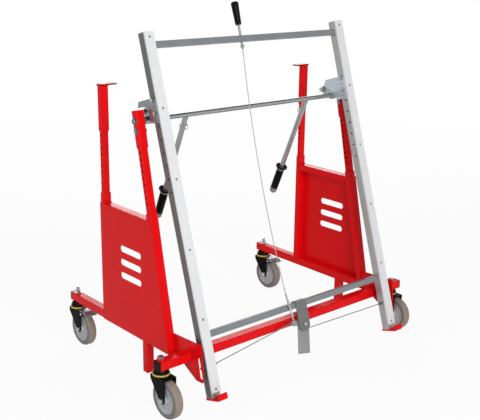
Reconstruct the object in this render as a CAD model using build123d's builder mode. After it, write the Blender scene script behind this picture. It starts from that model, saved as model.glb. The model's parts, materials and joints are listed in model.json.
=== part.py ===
from build123d import *
import math
import os

# Tilting panel cart: two side frames on castors, tied by a front beam,
# carry a tilting frame on telescopic posts.
# Millimetres. X runs to the cart's right, +Y to its back, Z up from the floor.

os.makedirs("parts", exist_ok=True)

# Castors
wheel_diameter = 125.0
castor_head = 32.0
wheel_width = 32.0
tyre_depth = 18.5
hub_diameter = 34.0
castor_trail = 34.0
fork_gap = 39.0
fork_thickness = 4.5
fork_top_thickness = 4.2
fork_nose = 11.0
fork_shoulder = 24.0
fork_ear = 17.0
axle_diameter = 12.0
axle_head = 6.0
stem_diameter = 12.0
swivel_diameter = 54.0
ring_diameter = 56.0
ring_height = 6.0
tyre_to_fork = 4.5
pedal_width = 44.0
pedal_plate = 2.5
pedal_pin_diameter = 6.0
pedal_drop = 11.0

# Side frames
side_gap = 874.0
frame_width = 30.0
bar_height = 30.0
bar_wall = 2.5
bar_tail = 24.0
rear_post_setback = 201.0
rear_post_depth = 20.0
rear_post_drop = 269.0
front_slant = 12.0
front_post_depth = 25.0
front_post_drop = 288.0
post_wall = 2.0
top_rail_height = 25.0
panel_drop = 302.0
panel_thickness = 2.0
vent_width = 116.0
vent_height = 22.0
vent_pitch = 46.0
vent_count = 3
vent_setback = 37.0
vent_drop = 478.0
tube_corner = 3.0
bore_corner = 1.0
socket_size = 27.0
socket_wall = 2.0
socket_drop = 110.0
socket_setback = -32.0
socket_screw_drop = 42.0
beam_overhang = 90.0
beam_depth = 34.0
beam_setback = -229.0
plug_lip = 3.0
plug_insert = 6.0
plug_clearance = 0.2
rear_castor_setback = 407.0
front_castor_inset = 22.0
front_stem_setback = 13.0
stem_boss_diameter = 25.0

# Telescopic posts
slide_clearance = 0.5
slide_corner = 2.0
slide_wall = 2.0
index_hole = 8.0
index_pitch = 20.0
rear_index_count = 10
rear_index_drop = 78.0
rear_slide_drop = 419.0
rear_head_drop = 62.0
rear_head_rise = 91.0
rest_plate = 5.0
rest_reach = 31.0
rest_lip = 2.0
front_index_count = 9
front_index_drop = 97.0
front_slide_bottom = 540.0
front_head_drop = 83.0
front_head_rise = 33.0
slide_into_head = 38.0
head_cap = 2.5
stop_bolt_drop = 30.0

# Tilting frame
pivot_height = 876.0
pivot_on_rail = 860.0
pivot_setback = 85.0
rail_tilt = 17.31
rail_side_gap = 5.5
rail_width = 35.0
rail_depth = 30.0
rail_wall = 2.5
rail_foot = 17.7
strip_length = 1116.0
strip_thickness = 5.0
strip_screw_top = 16.3
strip_screw_foot = 10.2
strip_screw_count = 6
strip_screw_head = 8.0
strip_screw_shank = 4.0
peg_hole = 7.0
peg_hole_top = 830.3
peg_hole_pitch = 40.5
peg_hole_count = 6
peg_hole_depth = 16.0
hook_plate = 6.0
hook_back = 2.0
hook_mouth = 24.0
hook_lip = 21.0
hook_bend = 6.0
hook_lip_plate = 5.0
cross_size = 20.0
cross_wall = 2.0
cross_depth = 20.0
top_cross_drop = 38.5
bottom_cross_at = 175.5
bracket_plate = 3.0
bracket_bolt_rises = (51.5, 10.5)
bracket_bolt_depth = 20.5
crossbar_diameter = 16.0
lug_plate = 5.0
lug_bolt_lag = 35.0
lug_bolt_rise = 29.0
hub_outside = 26.0
pivot_bolt = 12.0
pivot_washer = 2.2
small_bolt = 8.0
running_clearance = 0.05
bolt_clearance = 0.1
moving_gap = 0.3
handle_spread = 540.0
handle_lean = 23.5
handle_diameter = 18.0
handle_wall = 2.0
handle_length = 395.0
grip_start = 293.0
grip_length = 122.0
grip_diameter = 28.0
grip_flange = 44.0
stub_length = 60.0
handle_pin = 6.0
handle_pin_at = 40.0

# Latch
latch_plate_width = 48.0
latch_plate_thickness = 3.0
lever_pivot_at = 107.0
lever_plate = 4.0
lever_gap = 2.8
lever_rest = 11.5
pedal_strip_width = 50.0
pedal_strip_length = 99.0
lever_arm = 47.0
lever_arm_rise = 12.0
lever_horn = 20.0
lever_slot_travel = 5.0
wire_diameter = 3.0
wire_back = 2.2
latch_pin = 10.0
latch_pin_at = 80.5
latch_pin_depth = 18.0
latch_pin_inner = 12.5
latch_pin_tip = 11.0
latch_collar = 16.0
latch_collar_length = 3.0
latch_spring_length = 8.0
pull_side = -40.0
pull_rod = 8.0
pull_rest_gap = 36.0
pull_grip_length = 77.0
pull_grip_top = 26.0
pull_grip_foot = 21.0
cable_eye_drop = 15.0
cable_bow = 22.0
turnbuckle_top = 226.0
turnbuckle_diameter = 8.0
turnbuckle_gap = 0.5
cable_eye = 17.0
cable_eye_bore = 10.8
arm_pin = 5.0

# Guide plates
guide_plate = 3.0
guide_inset = 17.5
guide_slot_width = 12.0
guide_slot_below = 28.0
guide_slot_above = 30.0
guide_top_lead = 5.0
guide_top_rise = 80.0
guide_foot_lead = 17.0
guide_foot_drop = 36.0
guide_tip_lead = 11.0
guide_tip_drop = 44.0
guide_kink_lag = 19.0
guide_kink_drop = 45.0
guide_beam_lag = 10.0
guide_beam_drop = 20.0
guide_tail = 13.0
guide_root_rise = 67.0

# Derived places
tilt = math.radians(rail_tilt)
slant = math.radians(front_slant)
wheel_radius = wheel_diameter / 2
panel_top = pivot_height - panel_drop
vent_level = pivot_height - vent_drop
rear_post_top = pivot_height - rear_post_drop
rear_index_top = pivot_height - rear_index_drop
rear_slide_bottom = pivot_height - rear_slide_drop
rear_head_bottom = pivot_height - rear_head_drop
rear_head_top = pivot_height + rear_head_rise
beam_length = side_gap + 2 * (frame_width + beam_overhang)
front_stem_x = beam_length / 2 - front_castor_inset
rail_gap = side_gap - 2 * (rail_width + rail_side_gap)
top_cross_at = strip_length - top_cross_drop
hook_reach = hook_mouth + hook_lip_plate
front_reach = (
    (pivot_on_rail + rail_foot + hook_plate - hook_bend) * math.sin(tilt)
    + (pivot_setback + hook_reach - hook_bend) * math.cos(tilt)
    + hook_bend
)
rear_reach = rear_castor_setback - castor_trail + wheel_radius
pivot_y = (front_reach - rear_reach) / 2
bar_bottom = wheel_diameter + castor_head
bar_top = bar_bottom + bar_height
bar_middle = bar_bottom + bar_height / 2
side_x = (side_gap + frame_width) / 2
outer_x = side_x + frame_width / 2
inner_x = side_x - frame_width / 2
rail_inner = rail_gap / 2
rail_outer = rail_inner + rail_width
rail_x = (rail_inner + rail_outer) / 2
rail_back = strip_thickness + rail_depth
rail_mid = strip_thickness + rail_depth / 2
beam_y = pivot_y + beam_setback
front_stem_y = beam_y + front_stem_setback
rear_post_y = pivot_y + rear_post_setback
rear_stem_y = pivot_y + rear_castor_setback


def across(x, y=0.0, z=0.0):
    """A plane seen from the side, with (back, up) axes, that faces right."""
    return Plane((x, y, z), x_dir=(0, 1, 0), z_dir=(1, 0, 0))


def facing(x, y, z):
    """A plane seen from the front, with (right, up) axes, that faces forwards."""
    return Plane((x, y, z), x_dir=(1, 0, 0), z_dir=(0, -1, 0))


def leaning_planes(origin, angle):
    """Planes of a leaning member: its face (right, up), section (right, back) and side (back, up)."""
    up = Vector(0, math.sin(angle), math.cos(angle))
    back = Vector(0, math.cos(angle), -math.sin(angle))
    face = Plane(origin, x_dir=(1, 0, 0), z_dir=back * -1)
    section = Plane(origin, x_dir=(1, 0, 0), z_dir=up)
    side = Plane(origin, x_dir=back, z_dir=(1, 0, 0))
    return face, section, side


pivot = Vector(0, pivot_y, pivot_height)
rail_up = Vector(0, math.sin(tilt), math.cos(tilt))
rail_rear = Vector(0, math.cos(tilt), -math.sin(tilt))
rail_zero = pivot - rail_up * pivot_on_rail - rail_rear * pivot_setback
rail_face, rail_section, rail_side = leaning_planes(rail_zero, tilt)
_, post_section, post_side = leaning_planes(pivot, slant)


def on_rail(x, up, back):
    """A point of the tilting frame: across, up along the rail and back from the strips' faces."""
    return rail_zero + Vector(x, 0, 0) + rail_up * up + rail_rear * back


def tube_profile(width, depth, wall, corner=tube_corner, inner_corner=bore_corner):
    """Draws a hollow rectangular section."""
    RectangleRounded(width, depth, corner)
    RectangleRounded(width - 2 * wall, depth - 2 * wall, inner_corner, mode=Mode.SUBTRACT)


def keep(builder, name):
    """Labels a finished piece and writes it under its own name."""
    builder.part.label = name
    export_step(builder.part, f"parts/{name}.step")


# The front posts' back faces, where the bars and top rails meet them
post_back_plane = Plane(pivot + Vector(post_side.x_dir) * (front_post_depth / 2), z_dir=post_side.x_dir)


def post_front_y(level):
    """Where the front post's front face stands at a height."""
    return pivot_y + (level - pivot_height) * math.tan(slant) - front_post_depth / 2 / math.cos(slant)


SIDES = (("left", -1), ("right", 1))

# Chassis bars, one along the foot of each side frame
stem_hole = stem_diameter + 2 * bolt_clearance
bar_end = rear_stem_y + bar_tail
for side, sign in SIDES:
    with BuildPart() as chassis_bar:
        with BuildSketch(facing(sign * side_x, bar_end, bar_middle)):
            tube_profile(frame_width, bar_height, bar_wall)
        extrude(amount=bar_end - post_front_y(bar_bottom))
        split(bisect_by=post_back_plane, keep=Keep.TOP)
        with BuildSketch(Plane.XY.offset(bar_bottom)):
            with Locations((sign * side_x, rear_stem_y)):
                Circle(stem_hole / 2)
        extrude(amount=bar_height, mode=Mode.SUBTRACT)
    keep(chassis_bar, f"chassis_bar_{side}")

# Rear posts, upright sleeves on the bars, with a clamp screw's hole in the back
clamp_screw = 6.0
rear_screw_drop = 12.0
for side, sign in SIDES:
    with BuildPart() as rear_post:
        with BuildSketch(Plane.XY.offset(bar_top)):
            with Locations((sign * side_x, rear_post_y)):
                tube_profile(frame_width, rear_post_depth, post_wall)
        extrude(amount=rear_post_top - bar_top)
        with BuildSketch(facing(sign * side_x, rear_post_y, rear_post_top - rear_screw_drop)):
            Circle(clamp_screw / 2 + bolt_clearance)
        extrude(amount=-rear_post_depth, mode=Mode.SUBTRACT)
    keep(rear_post, f"rear_post_{side}")

# Front posts, leaning sleeves cut level at the bars' underside
front_screw_drop = 9.0
post_run = (pivot_height - bar_bottom) / math.cos(slant) + front_post_depth


def front_screw_point(sign):
    """Where a front sleeve's clamp screw enters its back face."""
    along = post_section.z_dir * (front_post_drop + front_screw_drop)
    return pivot - along + post_side.x_dir * (front_post_depth / 2) + Vector(sign * side_x, 0, 0)


for side, sign in SIDES:
    with BuildPart() as front_post:
        with BuildSketch(post_section.offset(-post_run)):
            with Locations((sign * side_x, 0)):
                tube_profile(frame_width, front_post_depth, post_wall)
        extrude(amount=post_run - front_post_drop)
        split(bisect_by=Plane.XY.offset(bar_bottom), keep=Keep.TOP)
        with BuildSketch(Plane(front_screw_point(sign), x_dir=(1, 0, 0), z_dir=post_side.x_dir)):
            Circle(clamp_screw / 2 + bolt_clearance)
        extrude(amount=-front_post_depth / 2, mode=Mode.SUBTRACT)
    keep(front_post, f"front_post_{side}")

# Top rails between the posts of each side
rear_post_front = rear_post_y - rear_post_depth / 2
with BuildPart() as top_rails:
    with BuildSketch(facing(side_x, rear_post_front, panel_top - top_rail_height / 2)):
        tube_profile(frame_width, top_rail_height, post_wall)
    extrude(amount=rear_post_front - post_front_y(bar_bottom))
    split(bisect_by=post_back_plane, keep=Keep.TOP)
    mirror(about=Plane.YZ)
keep(top_rails, "top_rails")

# Side panels, one sheet on the outside of each side frame
rear_post_back = rear_post_y + rear_post_depth / 2
for side, sign in SIDES:
    with BuildPart() as side_panel:
        with BuildSketch(across(sign * outer_x)):
            with BuildLine():
                Polyline(
                    (post_front_y(bar_bottom), bar_bottom),
                    (rear_post_back, bar_bottom),
                    (rear_post_back, panel_top),
                    (post_front_y(panel_top), panel_top),
                    close=True,
                )
            make_face()
            with Locations((pivot_y + vent_setback, vent_level)):
                with GridLocations(0, vent_pitch, 1, vent_count):
                    SlotOverall(vent_width, vent_height, mode=Mode.SUBTRACT)
        extrude(amount=sign * panel_thickness)
    keep(side_panel, f"side_panel_{side}")

# Front beam across both side frames, with bosses let into its back for the front castors' stems
front_stem_places = ((front_stem_x, front_stem_y), (-front_stem_x, front_stem_y))
with BuildPart() as front_beam:
    with BuildSketch(across(-beam_length / 2, beam_y, bar_middle)):
        tube_profile(beam_depth, bar_height, bar_wall)
    extrude(amount=beam_length)
    with BuildSketch(Plane.XY.offset(bar_bottom)):
        with Locations(*front_stem_places):
            Circle(stem_boss_diameter / 2)
    extrude(amount=bar_height)
    with BuildSketch(Plane.XY.offset(bar_bottom)):
        with Locations(*front_stem_places):
            Circle(stem_hole / 2)
    extrude(amount=bar_height, mode=Mode.SUBTRACT)
keep(front_beam, "front_beam")

# Guide plates: gussets that tie the beam to the front posts and hold the latch slots
latch_point = on_rail(0, latch_pin_at, latch_pin_depth)
guide_x = outer_x - guide_inset - 2 * guide_plate
guide_front_top = (latch_point.Y - guide_top_lead, latch_point.Z + guide_top_rise)
guide_front_foot = (latch_point.Y - guide_foot_lead, latch_point.Z - guide_foot_drop)
guide_tip = (latch_point.Y - guide_tip_lead, latch_point.Z - guide_tip_drop)
guide_kink = (latch_point.Y + guide_kink_lag, latch_point.Z - guide_kink_drop)
guide_under_beam = (beam_y + guide_beam_lag, bar_bottom - guide_beam_drop)
guide_behind_beam = (beam_y + beam_depth / 2 + guide_tail, bar_bottom)
guide_root_level = bar_bottom + guide_root_rise
latch_in_post = post_side.to_local_coords(latch_point)
with BuildPart() as guide_plates:
    with BuildSketch(across(guide_x)):
        with BuildLine():
            Polyline(
                (post_front_y(guide_root_level), guide_root_level),
                guide_front_top,
                guide_front_foot,
                guide_tip,
                guide_kink,
                guide_under_beam,
                guide_behind_beam,
                (post_front_y(bar_bottom), bar_bottom),
                close=True,
            )
        make_face()
        with Locations((beam_y, bar_middle)):
            RectangleRounded(beam_depth, bar_height, tube_corner, mode=Mode.SUBTRACT)
    extrude(amount=guide_plate)
    with BuildSketch(post_side.offset(guide_x)):
        with Locations((latch_in_post.X, latch_in_post.Y + (guide_slot_above - guide_slot_below) / 2)):
            SlotCenterToCenter(guide_slot_above + guide_slot_below, guide_slot_width, rotation=90)
    extrude(amount=guide_plate, mode=Mode.SUBTRACT)
    mirror(about=Plane.YZ)
keep(guide_plates, "guide_plates")

# Socket tubes under the bars
socket_x = outer_x - socket_size / 2
socket_y = pivot_y + socket_setback
with BuildPart() as socket_tubes:
    with BuildSketch(Plane.XY.offset(bar_bottom - socket_drop)):
        with Locations((socket_x, socket_y)):
            tube_profile(socket_size, socket_size, socket_wall)
    extrude(amount=socket_drop)
    with BuildSketch(facing(socket_x, socket_y, bar_bottom - socket_screw_drop)):
        Circle(clamp_screw / 2 + bolt_clearance)
    extrude(amount=-socket_size, mode=Mode.SUBTRACT)
    mirror(about=Plane.YZ)
keep(socket_tubes, "socket_tubes")

# Push-in plugs for the beam's ends and the bars' rear ends
plug_shrink = 2 * (bar_wall + plug_clearance)
with BuildPart() as tube_plugs:
    with BuildSketch(across(beam_length / 2, beam_y, bar_middle)):
        RectangleRounded(beam_depth, bar_height, tube_corner)
    extrude(amount=plug_lip)
    with BuildSketch(across(beam_length / 2, beam_y, bar_middle)):
        RectangleRounded(beam_depth - plug_shrink, bar_height - plug_shrink, bore_corner)
    extrude(amount=-plug_insert)
    with BuildSketch(facing(side_x, bar_end, bar_middle)):
        RectangleRounded(frame_width, bar_height, tube_corner)
    extrude(amount=-plug_lip)
    with BuildSketch(facing(side_x, bar_end, bar_middle)):
        RectangleRounded(frame_width - plug_shrink, bar_height - plug_shrink, bore_corner)
    extrude(amount=plug_insert)
    mirror(about=Plane.YZ)
keep(tube_plugs, "tube_plugs")

# Clamp screws: a welded nut and a hex screw on each sleeve and each socket
weld_nut = 6.0
weld_nut_height = 3.0
screw_head = 5.0
screw_head_height = 4.0
socket_screw_reach = 1.0
sleeve_screw_reach = post_wall + slide_clearance - moving_gap
rear_screw_point = (side_x, rear_post_back, rear_post_top - rear_screw_drop)
rear_screw_plane = Plane(rear_screw_point, x_dir=(1, 0, 0), z_dir=(0, 1, 0))
front_screw_plane = Plane(front_screw_point(1), x_dir=(1, 0, 0), z_dir=post_side.x_dir)
socket_screw_point = (socket_x, socket_y + socket_size / 2, bar_bottom - socket_screw_drop)
socket_screw_plane = Plane(socket_screw_point, x_dir=(1, 0, 0), z_dir=(0, 1, 0))
with BuildPart() as clamp_screws:
    for seat, reach in (
        (rear_screw_plane, sleeve_screw_reach),
        (front_screw_plane, sleeve_screw_reach),
        (socket_screw_plane, socket_wall + socket_screw_reach),
    ):
        with BuildSketch(seat):
            RegularPolygon(weld_nut, 6)
        extrude(amount=weld_nut_height)
        with BuildSketch(seat.offset(weld_nut_height)):
            RegularPolygon(screw_head, 6)
        extrude(amount=screw_head_height)
        with BuildSketch(seat):
            Circle(clamp_screw / 2)
        extrude(amount=-reach)
    mirror(about=Plane.YZ)
keep(clamp_screws, "clamp_screws")

# Castors: fixed stem, dome and ring on the chassis
fork_bottom = wheel_diameter + tyre_to_fork
fork_top = fork_bottom + fork_top_thickness
ring_bottom = fork_top + moving_gap
ring_top = ring_bottom + ring_height
castor_places = (
    ("front_left", -front_stem_x, front_stem_y),
    ("front_right", front_stem_x, front_stem_y),
    ("rear_left", -side_x, rear_stem_y),
    ("rear_right", side_x, rear_stem_y),
)
stem_nut = 10.5
stem_nut_height = 10.0
stem_washer = 12.5
stem_washer_height = 2.5
stem_end = 12.0
low_nut_height = 4.0
kingpin_head = 9.0
kingpin_height = 3.0
stem_foot = fork_bottom - moving_gap
with BuildPart() as castor_stems:
    for name, x, y in castor_places:
        is_rear = name.startswith("rear")
        nut_height = stem_nut_height if is_rear else low_nut_height
        stem_top = bar_top + stem_washer_height + nut_height + (stem_end if is_rear else 0)
        with BuildSketch(Plane((x, y, stem_foot - kingpin_height))):
            Circle(kingpin_head)
        extrude(amount=kingpin_height)
        with BuildSketch(Plane((x, y, stem_foot))):
            Circle(stem_diameter / 2)
        extrude(amount=stem_top - stem_foot)
        with BuildSketch(Plane((x, y, bar_top))):
            Circle(stem_washer)
        extrude(amount=stem_washer_height)
        with BuildSketch(Plane((x, y, bar_top + stem_washer_height))):
            RegularPolygon(stem_nut, 6)
        extrude(amount=nut_height)
keep(castor_stems, "castor_stems")

dome_neck = 15.0
dome_shoulder = 25.0
dome_rise = 7.0
dome_bulge = 1.5
brim_inset = 1.0
dome_brim = ring_diameter / 2 - brim_inset
with BuildPart() as castor_domes:
    for name, x, y in castor_places:
        with BuildSketch(facing(x, y, 0)):
            with BuildLine():
                Line((stem_diameter / 2, ring_top), (dome_brim, ring_top))
                Line((dome_brim, ring_top), (dome_shoulder, ring_top + dome_rise))
                ThreePointArc(
                    (dome_shoulder, ring_top + dome_rise),
                    ((dome_shoulder + dome_neck) / 2 + dome_bulge, bar_bottom - 2 * dome_bulge),
                    (dome_neck, bar_bottom),
                )
                Line((dome_neck, bar_bottom), (stem_diameter / 2, bar_bottom))
                Line((stem_diameter / 2, bar_bottom), (stem_diameter / 2, ring_top))
            make_face()
        revolve(axis=Axis((x, y, 0), (0, 0, 1)))
keep(castor_domes, "castor_domes")

ring_bore = 13.0
ring_edge = 0.8
with BuildPart() as castor_rings:
    with BuildSketch(Plane.XY.offset(ring_bottom)):
        with Locations(*[(x, y) for name, x, y in castor_places]):
            Circle(ring_diameter / 2)
            Circle(ring_bore, mode=Mode.SUBTRACT)
    extrude(amount=ring_height)
    rims = edges().filter_by(GeomType.CIRCLE).filter_by(lambda edge: edge.radius > ring_bore)
    chamfer(rims, ring_edge)
keep(castor_rings, "castor_rings")

# Castor forks with their axle bolts, trailing towards the front, the rear ones with ears for a pedal
leg_inner = fork_gap / 2
leg_outer = leg_inner + fork_thickness
trail_edge = -(castor_trail + fork_nose)
shoulder_height = 14.0
ear_drop = 2.5
ear_top = fork_top - ear_drop
ear_height = 11.5
axle_head_radius = 9.0
pedal_pin_inset = 6.0
pedal_pin_y = trail_edge - fork_ear + pedal_pin_inset
pedal_pin_drop = 3.2
pedal_pin_z = ear_top - pedal_pin_drop
for name, x, y in castor_places:
    is_rear = name.startswith("rear")
    with BuildPart() as castor_fork:
        with BuildSketch(Plane((x, y, fork_bottom))):
            Circle(swivel_diameter / 2)
            with Locations((0, trail_edge / 2)):
                Rectangle(2 * leg_outer, -trail_edge)
            Circle(stem_diameter / 2 + running_clearance, mode=Mode.SUBTRACT)
        extrude(amount=fork_top_thickness)
        for leg in (-1, 1):
            with BuildSketch(across(x + leg * leg_inner, y)):
                with Locations((-castor_trail, wheel_radius)):
                    Circle(fork_nose)
                with Locations(((trail_edge + fork_shoulder) / 2, fork_top - shoulder_height / 2)):
                    Rectangle(fork_shoulder - trail_edge, shoulder_height)
                make_hull()
                with Locations((-castor_trail, wheel_radius)):
                    Circle(axle_diameter / 2 + bolt_clearance, mode=Mode.SUBTRACT)
                if is_rear:
                    with Locations((trail_edge - fork_ear / 2, ear_top - ear_height / 2)):
                        Rectangle(fork_ear, ear_height)
                    with Locations((pedal_pin_y, pedal_pin_z)):
                        Circle(pedal_pin_diameter / 2 + running_clearance, mode=Mode.SUBTRACT)
            extrude(amount=leg * fork_thickness)
        axle_side = across(x, y - castor_trail, wheel_radius)
        with BuildSketch(axle_side.offset(-leg_outer - axle_head)):
            Circle(axle_diameter / 2)
        extrude(amount=2 * (leg_outer + axle_head))
        for start in (-leg_outer - axle_head, leg_outer + bolt_clearance):
            with BuildSketch(axle_side.offset(start)):
                RegularPolygon(axle_head_radius, 6)
            extrude(amount=axle_head - bolt_clearance)
    keep(castor_fork, f"castor_fork_{name}")

# Wheels: a moulded centre on each axle, with its tyre
hub_half = leg_inner - moving_gap
hub_edge = 3.0
hub_radius = hub_diameter / 2
web_half = 9.0
rim_half = 14.0
rim_radius = wheel_radius - tyre_depth
rim_wall = 6.0
dish = 3.0
tyre_half = wheel_width / 2
tyre_bead = 5.0
tread_half = 6.0
tread_drop = 8.5
tyre_shoulder = wheel_radius - tread_drop
for name, x, y in castor_places:
    axle_centre = Vector(x, y - castor_trail, wheel_radius)
    wheel_plane = facing(x, y - castor_trail, wheel_radius)
    axle_axis = Axis(axle_centre, (1, 0, 0))
    bore = axle_diameter / 2 + running_clearance
    with BuildPart() as wheel_core:
        with BuildSketch(wheel_plane):
            with BuildLine():
                Polyline(
                    (0, bore),
                    (hub_half, bore),
                    (hub_half, hub_radius - hub_edge),
                    (web_half + hub_edge, hub_radius),
                    (web_half, hub_radius + dish),
                    (web_half, rim_radius - rim_wall - dish),
                    (rim_half, rim_radius - rim_wall + dish),
                    (rim_half, rim_radius),
                    (0, rim_radius),
                    close=True,
                )
            make_face()
            mirror(about=Plane.YZ)
        revolve(axis=axle_axis)
    keep(wheel_core, f"wheel_core_{name}")
    with BuildPart() as wheel_tyre:
        with BuildSketch(wheel_plane):
            with BuildLine():
                Line((0, rim_radius), (rim_half, rim_radius))
                Line((rim_half, rim_radius), (tyre_half, rim_radius + tyre_bead))
                Line((tyre_half, rim_radius + tyre_bead), (tyre_half, tyre_shoulder))
                TangentArc((tread_half, wheel_radius), (tyre_half, tyre_shoulder), tangent=(1, 0))
                Line((tread_half, wheel_radius), (0, wheel_radius))
                Line((0, wheel_radius), (0, rim_radius))
            make_face()
            mirror(about=Plane.YZ)
        revolve(axis=axle_axis)
    keep(wheel_tyre, f"wheel_tyre_{name}")

# Brake pedals on the rear castors, each turning on a pin through its fork's ears
pedal_heel_lead = 6.0
pedal_knee_lead = 34.0
pedal_toe_lead = 55.0
pedal_heel = -castor_trail - pedal_heel_lead
pedal_knee = -castor_trail - pedal_knee_lead
pedal_toe = -castor_trail - pedal_toe_lead
toe_bevel = 1.0
pedal_lug = 4.0
pedal_lug_width = 12.0
pedal_lug_gap = 1.0
pin_head = 5.0
pin_head_height = 2.0
pin_reach = leg_outer + moving_gap
pedal_lift = 1.3
pedal_under = fork_top + pedal_lift
pedal_top = pedal_under + pedal_plate
lug_foot_drop = 4.5
lug_foot = pedal_pin_z - lug_foot_drop
lug_head = pedal_under + pedal_plate / 2
for name, x, y in castor_places[2:]:
    with BuildPart() as brake_pedal:
        with BuildSketch(across(x - pedal_width / 2, y)):
            with BuildLine():
                Polyline(
                    (pedal_heel, pedal_under),
                    (pedal_heel, pedal_top),
                    (pedal_knee, pedal_top),
                    (pedal_toe, pedal_top - pedal_drop),
                    (pedal_toe + toe_bevel, pedal_under - pedal_drop),
                    (pedal_knee + toe_bevel, pedal_under),
                    close=True,
                )
            make_face()
        extrude(amount=pedal_width)
        for start in (-leg_inner + pedal_lug_gap, leg_inner - pedal_lug_gap - pedal_lug):
            with BuildSketch(across(x + start, y)):
                with Locations((pedal_pin_y, (lug_foot + lug_head) / 2)):
                    Rectangle(pedal_lug_width, lug_head - lug_foot)
            extrude(amount=pedal_lug)
        pin_plane = across(x, y + pedal_pin_y, pedal_pin_z)
        with BuildSketch(pin_plane.offset(-pin_reach)):
            Circle(pedal_pin_diameter / 2)
        extrude(amount=2 * pin_reach)
        for start in (-pin_reach - pin_head_height, pin_reach):
            with BuildSketch(pin_plane.offset(start)):
                Circle(pin_head)
            extrude(amount=pin_head_height)
    keep(brake_pedal, f"brake_pedal_{name}")

# Telescopic posts at the front: slides with index holes, and heads that hold the pivot bolts
slide_width = frame_width - 2 * post_wall - 2 * slide_clearance
front_slide_depth = front_post_depth - 2 * post_wall - 2 * slide_clearance
rear_slide_depth = rear_post_depth - 2 * post_wall - 2 * slide_clearance
head_wall = (frame_width - slide_width) / 2
with BuildPart() as front_inner_tubes:
    with BuildSketch(post_section.offset(-front_slide_bottom)):
        with Locations((side_x, 0)):
            tube_profile(slide_width, front_slide_depth, slide_wall, slide_corner)
    extrude(amount=front_slide_bottom - front_head_drop + slide_into_head)
    with BuildSketch(post_side.offset(side_x - slide_width / 2)):
        for index in range(front_index_count):
            with Locations((0, -front_index_drop - index * index_pitch)):
                Circle(index_hole / 2)
    extrude(amount=slide_width, mode=Mode.SUBTRACT)
    mirror(about=Plane.YZ)
keep(front_inner_tubes, "front_inner_tubes")

with BuildPart() as front_heads:
    with BuildSketch(post_section.offset(-front_head_drop)):
        with Locations((side_x, 0)):
            tube_profile(frame_width, front_post_depth, head_wall, tube_corner, slide_corner)
    extrude(amount=front_head_drop + front_head_rise)
    with BuildSketch(post_section.offset(front_head_rise - head_cap)):
        with Locations((side_x, 0)):
            RectangleRounded(frame_width, front_post_depth, tube_corner)
    extrude(amount=head_cap)
    with BuildSketch(post_side.offset(inner_x)):
        Circle(pivot_bolt / 2 + bolt_clearance)
        with Locations((0, -stop_bolt_drop)):
            Circle(small_bolt / 2 + bolt_clearance)
    extrude(amount=frame_width, mode=Mode.SUBTRACT)
    mirror(about=Plane.YZ)
keep(front_heads, "front_heads")

# Pivot bolts and the heads' second bolts
washer = 12.0
small_washer = 10.0
washer_height = 2.0
pivot_head = 10.5
pivot_head_height = 8.0
bolt_head = 7.5
bolt_head_height = 5.5
head_nut = 8.5
head_nut_height = 5.0
pivot_tip_inset = 0.5
pivot_tip = rail_inner + pivot_tip_inset
with BuildPart() as pivot_bolts:
    with BuildSketch(post_side.offset(pivot_tip)):
        Circle(pivot_bolt / 2)
    extrude(amount=outer_x - pivot_tip)
    with BuildSketch(post_side.offset(inner_x - pivot_washer)):
        Circle(washer)
    extrude(amount=pivot_washer)
    with BuildSketch(post_side.offset(outer_x)):
        Circle(washer)
    extrude(amount=washer_height)
    with BuildSketch(post_side.offset(outer_x + washer_height)):
        RegularPolygon(pivot_head, 6)
    extrude(amount=pivot_head_height)
    with BuildSketch(post_side.offset(inner_x - washer_height)):
        with Locations((0, -stop_bolt_drop)):
            Circle(small_bolt / 2)
    extrude(amount=frame_width + washer_height)
    with BuildSketch(post_side.offset(inner_x - head_nut_height)):
        with Locations((0, -stop_bolt_drop)):
            RegularPolygon(head_nut, 6)
    extrude(amount=head_nut_height)
    with BuildSketch(post_side.offset(outer_x)):
        with Locations((0, -stop_bolt_drop)):
            Circle(small_washer)
    extrude(amount=washer_height)
    with BuildSketch(post_side.offset(outer_x + washer_height)):
        with Locations((0, -stop_bolt_drop)):
            RegularPolygon(bolt_head, 6)
    extrude(amount=bolt_head_height)
    mirror(about=Plane.YZ)
keep(pivot_bolts, "pivot_bolts")

# Telescopic posts at the rear: slides with index holes, and heads with rest plates that reach inwards
for side, sign in SIDES:
    with BuildPart() as rear_inner:
        with BuildSketch(Plane.XY.offset(rear_slide_bottom)):
            with Locations((sign * side_x, rear_post_y)):
                tube_profile(slide_width, rear_slide_depth, slide_wall, slide_corner)
        extrude(amount=rear_head_bottom + slide_into_head - rear_slide_bottom)
        with BuildSketch(across(sign * side_x - slide_width / 2)):
            for index in range(rear_index_count):
                with Locations((rear_post_y, rear_index_top - index * index_pitch)):
                    Circle(index_hole / 2)
        extrude(amount=slide_width, mode=Mode.SUBTRACT)
    keep(rear_inner, f"rear_inner_{side}")
    with BuildPart() as rear_head:
        with BuildSketch(Plane.XY.offset(rear_head_bottom)):
            with Locations((sign * side_x, rear_post_y)):
                tube_profile(frame_width, rear_post_depth, head_wall, tube_corner, slide_corner)
        extrude(amount=rear_head_top - rest_plate - rear_head_bottom)
        with BuildSketch(Plane.XY.offset(rear_head_top - rest_plate)):
            with Locations((sign * (outer_x - (frame_width + rest_reach) / 2), rear_post_y)):
                Rectangle(frame_width + rest_reach, rear_post_depth + 2 * rest_lip)
        extrude(amount=rest_plate)
    keep(rear_head, f"rear_head_{side}")

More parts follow.
